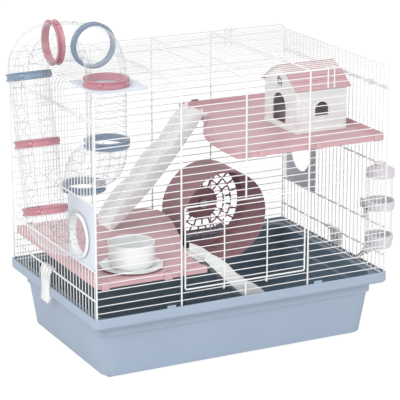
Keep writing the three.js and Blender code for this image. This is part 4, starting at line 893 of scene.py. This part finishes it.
def clear_tube(path, side, motif="squares", band=np.pi / 2):
    """A tube with a thicker collar at each end and a pattern of fine moulded lines: bands of
    squares 26 wide and 30 high on two sides, waves (z + 2.6 sin 6a) / 9, or 12 ribs along it."""
    steps = np.linalg.norm(np.diff(path, axis=0), axis=1)
    along = np.concatenate([[0.0], np.cumsum(steps)])
    length = along[-1]
    rows = np.concatenate([[0.0, 1.6, 2.2, length - 2.2, length - 1.6, length],
                           np.linspace(0, length, max(len(path), int(length / 12)))])
    rows = np.unique(rows.round(3))
    track = np.stack([np.interp(rows, along, path[:, i]) for i in range(3)], axis=1)
    columns = np.arange(72) * 2 * np.pi / 72
    collar = np.clip((2.2 - np.minimum(rows, length - rows)) / 0.6, 0, 1)
    outer = carried(track, side, TUBE_RADIUS - 0.9 * (1 - collar[:, None] * np.ones(72)), columns)
    inner = carried(track, side, np.full((len(rows), 72), TUBE_BORE), columns)
    down, turn = np.meshgrid(rows, columns, indexing="ij")
    pattern = np.full((*down.shape, 3), NO_PATTERN)
    if motif == "squares":
        from_band = np.abs((turn - band + np.pi / 2) % np.pi - np.pi / 2)
        pattern[..., 0] = from_band * TUBE_RADIUS / 13
        pattern[..., 1] = down / 30
    elif motif == "waves":
        pattern[..., 2] = (down + 2.6 * np.sin(6 * turn)) / 9
    else:
        pattern[..., 2] = np.arange(72) / 6
    blank = np.full(pattern.shape, NO_PATTERN)
    return Form().add(np.concatenate([outer, inner[::-1]]), rows_close=True,
                      pattern=np.concatenate([pattern, blank]))


def quarter(start, along, towards, radius=TUBE_BEND):
    """A quarter turn: start + along r sin a + towards r (1 - cos a)."""
    angle = np.linspace(0, np.pi / 2, 15)[:, None]
    return start + along * radius * np.sin(angle) + towards * radius * (1 - np.cos(angle))


def straight_tube(node, start, end, motif="squares", band=0.58):
    along = unit(end - start)
    track = np.stack([start + along * HALF_RING, end - along * HALF_RING])
    clear_tube(track, square_to(along)[0], motif, band).piece(node)


def elbow_tube(node, centre, along, towards):
    track = quarter(centre + along * HALF_RING, along, towards)
    clear_tube(track, unit(np.cross(along, towards))).piece(node)


def tube_run():
    collar = softened([[34, -2], [39.2, -2], [RING_RADIUS, 2], [TUBE_RADIUS, 2], [TUBE_RADIUS, 10],
                       [34, 10]], 1.2)
    Form().add(turned(collar, port_ring, X, 72), rows_close=True).piece("left_port_ring")

    turn_start = point(column_foot[0] + TUBE_BEND, *port_ring[1:])
    lead = np.stack([point(port_ring[0] - 2.3, *port_ring[1:]), turn_start])
    track = np.concatenate([lead[:1], quarter(turn_start, -X, column_up)])
    clear_tube(track, unit(np.cross(-X, column_up))).piece("port_elbow_tube")
    straight_tube("column_tube_lower", column_foot, column_middle)
    straight_tube("column_tube_upper", column_middle, column_top)
    elbow_tube("top_elbow_tube", side_ring, -X, -column_up)
    elbow_tube("corner_elbow_tube", side_ring, X, -Y)
    elbow_tube("roof_elbow_tube", corner_ring, -Y, -Z)
    straight_tube("drop_tube", roof_ring, inner_ring, "waves")
    start = inner_ring - Z * HALF_RING
    first = quarter(start, -Z, Y)
    second = quarter(first[-1] + Y * 2 * HALF_RING, Y, -Z)
    clear_tube(np.concatenate([first, second]), X, "ribs").piece("inner_bend_tube")

    for node, centre, direction in (
        ("ring_column_foot", column_foot, column_up),
        ("ring_column_middle", column_middle, column_up),
        ("ring_column_top", column_top, column_up), ("ring_side", side_ring, X),
        ("ring_corner", corner_ring, Y), ("ring_roof", roof_ring, Z),
        ("ring_inner", inner_ring, Z), ("ring_exit", exit_ring, Z),
    ):
        tube_ring(node, centre, direction)


# Floors

FLOOR_X = 286.35
FLOOR_Y = 187.35
UPPER_TOP = 263.34
LOWER_TOP = 64.085
UPPER_SHARES = [
    [-0.05, -1], [1, -1], [1, 1], [0.188, 1], [0.21, 0.8], [0.18, 0.336], [0.085, 0.133],
    [-0.012, -0.187], [-0.045, -0.56], [-0.052, -0.854],
]
UPPER_TABS = [[0.119, -1], [0.524, -1], [0.95, -1], [0.314, 1], [0.943, 1]]
LOWER_SHARES = [
    [-1, -1], [-0.251, -1], [-0.279, -0.923], [-0.265, -0.592], [-0.217, -0.363], [-0.154, -0.117],
    [-0.091, 0.171], [-0.028, 0.48], [-0.007, 0.673], [0, 0.827], [-0.042, 0.939], [-0.112, 1],
    [-1, 1],
]
LOWER_TABS = [[-0.946, -1], [-0.524, -1], [-0.908, 1], [-0.314, 1]]


def floor_plate(node, shares, sharp, section, tabs, level):
    """An outline from shares of the half width and depth, with a section of (inset, height)
    rows carried round it. Each row's wavy edge is smoothed, and tabs hook over a level wire."""
    corners = np.array(shares) * [FLOOR_X, FLOOR_Y]
    radius = np.full(len(corners), 400.0)
    radius[sharp] = 4
    rows = softened(section, 0.7, False, 3)
    outlines = np.stack([softened(moved_in(corners, inset), radius, steps=6) for inset, z in rows])
    heights = np.broadcast_to(rows[:, None, 1:], (*outlines.shape[:2], 1))
    form = Form().solid(np.concatenate([outlines, heights], axis=-1))
    lip_low = wire_height(level) + 1.3 + 0.3
    for share, sign in tabs:
        x = share * FLOOR_X
        root = sign * (FLOOR_Y - 1)
        face = sign * SIDE_END
        out = sign * (THIN_Y + 0.65)
        leg = rounded_rectangle(7.5, 8.2, 1.2, 3, (x, lip_low - 5.8))[0]
        form.solid(slab(leg, point(0, max(root, face), 0), X, Z, abs(face - root), 0.6))
        hook = rounded_rectangle(7.5, 1.2, 0.9, 3, (x, lip_low + 1.2))[0]
        form.solid(slab(hook, point(0, max(root, out), 0), X, Z, abs(out - root), 0.6))
    form.piece(node)


def floors():
    plate = UPPER_TOP - 8
    floor_plate("upper_floor", UPPER_SHARES, [0, 1, 2, 3], [
        [2, plate - 2.5], [2, UPPER_TOP - 12.5], [0, UPPER_TOP - 12.5], [0, UPPER_TOP],
        [2, UPPER_TOP], [3.2, plate], [15, plate], [15.8, plate - 0.8], [16.8, plate - 0.8],
        [17.6, plate], [20, plate],
    ], UPPER_TABS, 20)
    floor_plate("lower_floor", LOWER_SHARES, [0, 1, 11, 12], [
        [2, LOWER_TOP - 2.5], [2, LOWER_TOP - 12.5], [0, LOWER_TOP - 12.5], [0, LOWER_TOP - 1],
        [1, LOWER_TOP], [10, LOWER_TOP], [10.8, LOWER_TOP - 0.9], [11.8, LOWER_TOP - 0.9],
        [12.6, LOWER_TOP], [15, LOWER_TOP],
    ], LOWER_TABS, 5)


# Ramps

def ramp(node, top_x, foot_x, y, top_z, foot_z):
    """A sloping plate with broken rungs between rails. A rail rises 16 + 10 |sin 3 pi t| above
    the slope and hangs 14 sin pi t below it, t going from foot to top."""
    top = point(top_x, 0, top_z + 0.3)
    foot = point(foot_x, 0, foot_z + 0.3)
    lip_x = top_x + math.copysign(12, top_x - foot_x)
    lip = [[lip_x, top[2]], [lip_x, top[2] + 2.5]]
    t = np.linspace(0, 1, 49)[:, None]
    line = (foot * (1 - t) + top * t)[:, [0, 2]]
    belly = line - np.array([0, 1]) * 14 * np.sin(np.pi * t)
    scallops = line + np.array([0, 1]) * (16 + 10 * np.abs(np.sin(3 * np.pi * t)))
    rail = np.concatenate([belly, lip, [[top[0], top[2] + 2.5]], scallops[::-1]])
    plate = [[foot[0], foot[2]], [top[0], top[2]], *lip, [top[0], top[2] + 2.5],
             [foot[0], foot[2] + 2.5]]
    form = Form()
    form.solid(slab(plate, point(0, y + 31.8, 0), X, Z, 63.6, 0.4))
    for side in (y + 32, y - 32 + 2.2):
        form.solid(slab(rail, point(0, side, 0), X, Z, 2.2, 0.5))
    spans = [[(-27, -9), (13, 27)], [(-12, 10)]]
    for k in range(1, 20):
        place = foot + (top - foot) * k / 20 + Z * 2.5
        for low, high in spans[k % 2]:
            form.solid(wire([place + Y * (y + low), place + Y * (y + high)], 1.3))
    form.piece(node)


def ramps():
    ramp("upper_ramp", 48, -143, 102, UPPER_TOP, LOWER_TOP)
    ramp("lower_ramp", -66, 152, -131, LOWER_TOP, -118)


# Running wheel

WHEEL = point(98.99, 75, 60)
WHEEL_DEPTH = 101.0
WHEEL_RADIUS = 88.0


def wheel():
    """The drum's inner radius falls by 1.1 at 36 treads. Its back is rings and spokes in three
    rows of cells about a hub."""
    sides = 216
    tread = np.where(np.arange(sides) % 6 < 2, 1.1, 0.0)
    depth = WHEEL_DEPTH
    section = softened([
        [86.2, 0], [WHEEL_RADIUS, 0.8], [WHEEL_RADIUS, depth - 3], [85, depth], [78, depth],
        [78, depth - 2.4], [84.2, depth - 2.6], [85.8, depth - 5], [85.8, 2.5],
    ], 1.2, steps=3)
    profile = np.repeat(section[:, None], sides, axis=1)
    inside = (section[:, 0] < 86) & (section[:, 1] > 3) & (section[:, 1] < depth - 6)
    profile[..., 0] -= np.outer(inside, tread)
    form = Form().add(turned(profile, WHEEL, Y, sides), rows_close=True)

    back = depth - 2.2
    for low, high in ((46, 48.6), (61.5, 64.1)):
        ring = softened([[low, back], [high, back], [high, depth], [low, depth]], 0.6, steps=2)
        form.add(turned(ring, WHEEL, Y, 96), rows_close=True)
    hub = softened([
        [4.5, depth - 8], [10.4, depth - 8], [11, back - 1.4], [26, back - 1.4], [29.5, back - 0.4],
        [33, back], [33, depth], [4.5, depth],
    ], 0.8, steps=3)
    form.add(turned(hub, WHEEL, Y, 96), rows_close=True)
    for low, high, count, shift in ((32, 47, 16, 0.0), (47, 63, 20, 0.5), (63, 79, 24, 0.0)):
        for angle in (np.arange(count) + shift) * 2 * np.pi / count:
            out = X * math.cos(angle) + Z * math.sin(angle)
            across = np.cross(Y, out)
            bar = rounded_rectangle((high - low) / 2, 1.5, 0.5, 2, ((high + low) / 2, 0))[0]
            start = WHEEL + Y * (back if handed(out, across, Y) > 0 else depth)
            form.solid(slab(bar, start, out, across, 2.2, 0.5))
    form.piece("wheel_drum")

    centre = WHEEL + Y * depth
    start = -8 - 0.3 - 3
    end = SIDE_END - 3.3 - centre[1]
    pin = softened([[0, start], [8, start], [9, start + 1.2], [9, start + 3], [4, start + 3],
                    [4, end], [0, end]], 0.8, False, 3)
    Form().add(turned(pin, centre, Y)).piece("wheel_axle")

    wheel_z = WHEEL[2]
    lip = wire_height(6) + 1.6
    plate = rounded_rectangle(22, (lip + 2.4 - wheel_z + 29) / 2, 5, 5,
                              (WHEEL[0], (lip + 2.4 + wheel_z - 29) / 2))[0]
    form = Form().solid(slab(plate, point(0, SIDE_END, 0), X, Z, 3, 0.7))
    hook = rounded_rectangle(22, 1.2, 0.9, 3, (WHEEL[0], lip + 1.2))[0]
    form.solid(slab(hook, point(0, THIN_Y + 0.65, 0), X, Z, THIN_Y + 0.65 - SIDE_END + 3, 0.6))
    boss_front = 0.3
    boss_back = SIDE_END - centre[1] - 2
    boss = softened([[4.3, boss_front], [11, boss_front], [12, boss_back - 4], [14, boss_back],
                     [4.3, boss_back]], 0.8, steps=3)
    form.add(turned(boss, centre, Y), rows_close=True)
    form.piece("wheel_bracket")


# House

HOUSE = point(153, -100, UPPER_TOP - 8 + 0.3)
HOUSE_LENGTH = 104.0
HOUSE_WIDTH = 120.0
EAVE = 83.0
BREAK = 105.0
BREAK_HALF = 28.0
RIDGE = 117.0
HOUSE_WALL = 2.2


def arch(centre, width, height, sill, steps=12):
    half = width / 2
    angle = np.linspace(0, np.pi, steps + 1)
    top = np.stack([centre + half * np.cos(angle), sill + height - half + half * np.sin(angle)], 1)
    return np.concatenate([[[centre - half, sill], [centre + half, sill]], top])


def house_walls():
    """Four walls, the door and windows cut out of them, with a stepped plinth, corner posts,
    window frames and a cross in the round window."""
    middle = HOUSE_WIDTH / 2
    door_y = middle + 5
    split = 73.0
    window_z = 87.5
    form = Form()
    low = [[0, 0], [HOUSE_WIDTH, 0], [HOUSE_WIDTH, split], [0, split]]
    high = [[0, split], [HOUSE_WIDTH, split], [HOUSE_WIDTH, EAVE], [middle + BREAK_HALF, BREAK],
            [middle, RIDGE], [middle - BREAK_HALF, BREAK], [0, EAVE]]
    door = arch(door_y, 48, 54, 11)
    round_window = circle(9.5, 32, (door_y, window_z))
    form.add(pierced(low, door, (door_y, 36), HOUSE, Y, Z, HOUSE_WALL, 0.25), rows_close=True)
    form.add(pierced(high, round_window, (door_y, window_z), HOUSE, Y, Z, HOUSE_WALL, 0.25),
             rows_close=True)
    far = HOUSE + X * (HOUSE_LENGTH - HOUSE_WALL)
    gable = [[0, 0], [HOUSE_WIDTH, 0], *high[2:]]
    form.solid(slab(gable, far, Y, Z, HOUSE_WALL, 0.25))
    side = rounded_rectangle(HOUSE_LENGTH / 2, EAVE / 2, 0.2, 1, (HOUSE_LENGTH / 2, EAVE / 2))[0]
    window = arch(HOUSE_LENGTH / 2, 28, 26, 30.5)
    form.add(pierced(side, window, (HOUSE_LENGTH / 2, 44), HOUSE + Y * HOUSE_WALL, X, Z,
                     HOUSE_WALL, 0.25), rows_close=True)
    form.solid(slab(side, HOUSE + Y * HOUSE_WIDTH, X, Z, HOUSE_WALL, 0.25))

    # Door and window frames, raised from the wall
    for outline, centre, grow, origin, u in (
        (door, (door_y, 36), 3.0, HOUSE - X * 0.9, Y),
        (round_window, (door_y, window_z), 1.8, HOUSE - X * 0.9, Y),
        (window, (HOUSE_LENGTH / 2, 44), 2.4, HOUSE + Y * 1.6, X),
    ):
        edge = anticlockwise(outline)
        form.add(pierced(moved_in(edge, -grow), edge, centre, origin, u, Z, 2.5, 0.5),
                 rows_close=True)
    for u, v in ((Y, Z), (Z, Y)):
        bar = rounded_rectangle(9.7, 1.1, 0.4, 2)[0]
        at_window = HOUSE + Y * door_y + Z * window_z
        form.solid(slab(bar, at_window + X * (0 if handed(u, v, X) > 0 else 2), u, v, 2.0, 0.4))

    # Corner posts and the plinth's two steps
    for x in (0, HOUSE_LENGTH):
        for y in (0, HOUSE_WIDTH):
            corner = (HOUSE[0] + x + math.copysign(3.2, HOUSE_LENGTH / 2 - x),
                      HOUSE[1] + y + math.copysign(3.2, HOUSE_WIDTH / 2 - y))
            post = rounded_rectangle(4.2, 4.2, 1.6, 4, corner)[0]
            form.solid(slab(post, point(0, 0, HOUSE[2] + 4), X, Y, EAVE - 6, 0.5))
    half = np.array([HOUSE_LENGTH / 2, HOUSE_WIDTH / 2])
    centre = HOUSE[:2] + half
    for proud, height in ((2.0, 6.5), (1.0, 11.0)):
        outer = rounded_rectangle(*(half + proud), 3, 4, centre)[0]
        hole = rounded_rectangle(*(half - 2), 1, 4, centre)[0]
        form.add(pierced(outer, hole, centre, point(0, 0, HOUSE[2]), X, Y, height, 0.5),
                 rows_close=True)
    form.piece("house_walls")


def house_roof():
    """Courses of boards from eave to ridge, each lapping 1.4 over the one above it, on a thin
    shell, with a rounded board along each eave and a cap on the ridge."""
    middle = HOUSE_WIDTH / 2
    eave = np.array([-6.0, EAVE - 2.6])
    knee = np.array([middle - BREAK_HALF - 0.8, BREAK + 0.9])
    peak = np.array([middle, RIDGE + 1.0])
    start = HOUSE - X * 6
    length = HOUSE_LENGTH + 12
    form = Form()
    boards = []
    for low, high, courses in ((eave, knee, 4), (knee, peak, 3)):
        along = unit(high - low)
        out = np.array([-along[1], along[0]])
        rise = (high - low) / courses
        for k in range(courses):
            foot = low + rise * k
            head = foot + rise + along * 1.2
            boards.append([foot, foot + out * 2.4, head + out * 0.9, head - out * 0.2])
    tip = np.array([-0.9, 0.4])
    boards.append([eave - tip * 1.5, eave + tip * 1.6, eave + tip * 1.6 + [3, 3.4],
                   eave + [3, 1.2]])
    for board in boards:
        mirrored = [[HOUSE_WIDTH - across, up] for across, up in board]
        for outline in (board, mirrored):
            edge = softened(anticlockwise(outline), 0.5, steps=3)
            form.solid(slab(edge, start, Y, Z, length, 0.4))
    cap = rounded_rectangle(length / 2 - 0.4, 4, 2, 4,
                            (HOUSE[0] + HOUSE_LENGTH / 2, HOUSE[1] + middle))[0]
    form.solid(slab(cap, point(0, 0, HOUSE[2] + RIDGE + 1.4), X, Y, 1.3, 0.6))
    form.piece("house_roof")


# Bowl

def bowl():
    centre = point(-195, -131, LOWER_TOP + 0.3)
    dish = softened([
        [0, 0], [30, 0], [43, 0.6], [55.5, 3.2], [56.5, 4.6], [55.5, 5], [43, 2.9], [36, 2.5],
        [0, 2.5],
    ], 4, False, 5)
    Form().add(turned(dish, centre, Z, 96)).piece("saucer")
    cup = softened([
        [0, 1], [31, 1], [33, 0], [36, 0], [40.5, 7], [42, 16], [42, 43], [40.6, 44.2], [39, 43],
        [39, 16], [36.5, 7], [31, 3.5], [0, 3],
    ], np.array([0, 1, 1, 2, 6, 6, 1.2, 1, 1.2, 6, 6, 4, 0]), False, 5)
    Form().add(turned(cup, centre + Z * 2.8, Z, 96)).piece("food_bowl")


# Water bottle

BOTTLE = point(WIRE_X + 32.9, side_wire(5) + SIDE_PITCH / 2, 0)


def bottle():
    """A grooved clear body, a domed cap with a knob, and a lower cap with the spout's socket."""
    low, high = 48.3, 160.6
    radius = 25.2
    grooves = np.linspace(low + 8, high - 8, 14)
    outer = [[21.5, low - 11], [21.5, low - 1], [radius, low + 2.5]]
    for z in grooves:
        outer += [[radius, z - 1.6], [radius - 0.7, z - 0.8], [radius - 0.7, z + 0.8],
                  [radius, z + 1.6]]
    outer += [[radius, high - 2.5], [21.5, high + 1], [21.5, high + 11]]
    inner = [[19.9, high + 11], [19.9, high + 0.5], [23.2, high - 4], [23.2, low + 4],
             [19.9, low - 0.5], [19.9, low - 11]]
    Form().add(turned(softened(outer + inner, 0.6, steps=2), BOTTLE, Z, 64),
               rows_close=True).piece("bottle_body")

    # Caps with a finger grip round them: the radius falls by 0.7 in every other column
    flute = np.where(np.arange(96) % 4 < 2, 0.0, 0.7)

    def fluted(shape, base, direction, grip):
        section = softened(shape, 1.8, False, 4)
        profile = np.repeat(section[:, None], 96, axis=1)
        gripped = (section[:, 0] > 26) & (section[:, 1] < grip)
        profile[..., 0] -= np.outer(gripped, flute)
        return Form().add(turned(profile, BOTTLE + Z * base, direction))

    fluted([[0, 11.3], [21.8, 11.3], [21.8, 0], [27.3, 0], [27.3, 12.6], [25.6, 14.6],
            [15, 18.6], [13.4, 20.6], [13.4, 25], [11, 26.4], [0, 26.4]],
           high + 0.3, Z, 12).piece("bottle_top_cap")
    form = fluted([[0, 11.3], [21.8, 11.3], [21.8, 0], [27.3, 0], [27.3, 9], [26.2, 12],
                   [24.6, 23], [22, 24.8], [0, 24.8]], low - 0.3, -Z, 9)
    slope = math.radians(32)
    spout_way = point(math.cos(slope), 0, math.sin(slope))
    tip = point(WIRE_X - 17.7, BOTTLE[1], 5)
    socket = softened([[4.6, 24], [7.2, 24], [9.2, 42], [4.6, 42]], 0.9)
    form.add(turned(socket, tip, spout_way, 32), rows_close=True)
    form.piece("bottle_lower_cap")

    pipe = softened([[2.9, 0.4], [3.3, 0], [4.2, 0.8], [4.2, 48], [3.4, 48]], 0.5)
    Form().add(turned(pipe, tip, spout_way, 32), rows_close=True).piece("bottle_spout")
    angle = np.linspace(0, np.pi, 13)
    ball = np.stack([3 * np.sin(angle), -3 * np.cos(angle)], axis=1)
    Form().add(turned(ball, tip + spout_way, spout_way, 24)).piece("spout_ball")


def bottle_holder():
    """A band round the bottle, a plate against the wires, and a leg with a hook over one."""
    centre_z = 107.0
    plate_in = WIRE_X + FRAME_WIRE / 2 + 0.3
    hook_low = PORT_BOTTOM + FRAME_WIRE / 2 + 0.3
    band = softened([[25.5, -8], [28.1, -8], [28.1, 8], [25.5, 8]], 1.0)
    form = Form().add(turned(band, BOTTLE + Z * centre_z, Z, 64), rows_close=True)
    for half_width, low, high in ((20, centre_z - 7, centre_z + 12), (7, hook_low, centre_z)):
        middle = (BOTTLE[1], (low + high) / 2)
        plate = rounded_rectangle(half_width, (high - low) / 2, 3, 4, middle)[0]
        form.solid(slab(plate, point(plate_in, 0, 0), Y, Z, 2.6, 0.6))
    hook = rounded_rectangle(7, 1.3, 1, 3, (BOTTLE[1], hook_low + 1.3))[0]
    form.solid(slab(hook, point(plate_in - 2.8, 0, 0), Y, Z, 4.1, 0.5))
    neck = rounded_rectangle(10, 8, 2, 4, (BOTTLE[1], centre_z))[0]
    form.solid(slab(neck, point(plate_in + 1, 0, 0), Y, Z, BOTTLE[0] - 26.2 - plate_in, 0.6))
    form.piece("bottle_holder")


# Camera, light and floor

def camera():
    """The photograph's viewpoint: yaw and pitch, and the camera's place behind the cage."""
    yaw, pitch = -0.4682, 0.2882
    right = point(math.cos(yaw), math.sin(yaw), 0)
    ahead = point(-math.sin(yaw) * math.cos(pitch), math.cos(yaw) * math.cos(pitch),
                  -math.sin(pitch))
    up = np.cross(right, ahead)
    place = point(0, 0, 150) - ahead * 3604.2 + right * 5.62 - up * 23.58
    data = bpy.data.cameras.new("camera")
    data.sensor_width = 36
    data.lens = 1949.87 / 400 * data.sensor_width
    made = linked("camera", data)
    matrix = np.eye(4)
    matrix[:3, 0] = right
    matrix[:3, 1] = up
    matrix[:3, 2] = -ahead
    matrix[:3, 3] = place * MM + ORIGIN
    made.matrix_world = Matrix(matrix.tolist())
    bpy.context.scene.camera = made


def lamp(name, place, size, watts, towards=(0.0, 0.0, 0.25)):
    data = bpy.data.lights.new(name, "AREA")
    data.shape = "SQUARE"
    data.size = size
    data.energy = watts
    made = linked(name, data)
    away = np.array(place) - np.array(towards)
    side = unit(np.cross(Z, away))
    matrix = np.eye(4)
    matrix[:3, 0] = side
    matrix[:3, 2] = unit(away)
    matrix[:3, 1] = np.cross(matrix[:3, 2], side)
    matrix[:3, 3] = place
    made.matrix_world = Matrix(matrix.tolist())


def studio():
    """White surroundings as the camera and gloss see them, a softer light for everything else,
    and a floor that shows white with the object's shadow on it."""
    world = bpy.data.worlds.new("studio")
    bpy.context.scene.world = world
    sky = Finish("studio", world)
    rays = [sky.node("ShaderNodeLightPath", output=kind)
            for kind in ("Is Camera Ray", "Is Glossy Ray", "Is Transmission Ray")]
    seen = rays[0].largest(rays[1].largest(rays[2]))
    white = (1, 1, 1, 1)
    soft = sky.node("ShaderNodeBackground", None, {"Color": white, "Strength": AMBIENT})
    bright = sky.node("ShaderNodeBackground", None, {"Color": white, "Strength": 1.0})
    mixed = sky.node("ShaderNodeMixShader", None, {0: seen, 1: soft, 2: bright})
    sky.shown(mixed, "ShaderNodeOutputWorld")

    finish = Finish("studio floor")
    ray = finish.node("ShaderNodeLightPath", output="Is Camera Ray")
    plain = finish.node("ShaderNodeBsdfDiffuse", None, {"Color": (0.9, 0.9, 0.9, 1)})
    glow = finish.node("ShaderNodeEmission", None, {"Color": white, "Strength": FLOOR_LIGHT})
    mixed = finish.node("ShaderNodeMixShader", None, {0: ray * FLOOR_GLOW, 1: plain, 2: glow})
    finish.shown(mixed)
    mesh = bpy.data.meshes.new("studio_floor")
    reach = 6.0
    corners = [(-reach, -reach, 0), (reach, -reach, 0), (reach, reach, 0), (-reach, reach, 0)]
    mesh.from_pydata(corners, [], [(0, 1, 2, 3)])
    mesh.materials.append(finish.material)
    linked("studio_floor", mesh)

    lamp("key", (-2.5, -1.9, 2.4), 1.8, 75)
    lamp("fill", (1.8, -2.6, 1.5), 1.8, 22)
    lamp("top", (-0.3, 0.4, 2.9), 1.6, 9)


AMBIENT = 0.57
FLOOR_GLOW = 0.8
FLOOR_LIGHT = 1.16

camera()
tray()
cage_wires()
clips()
port_plates()
tube_run()
floors()
ramps()
wheel()
house_walls()
house_roof()
bowl()
bottle()
bottle_holder()
studio()

bpy.context.scene.view_settings.view_transform = "Standard"
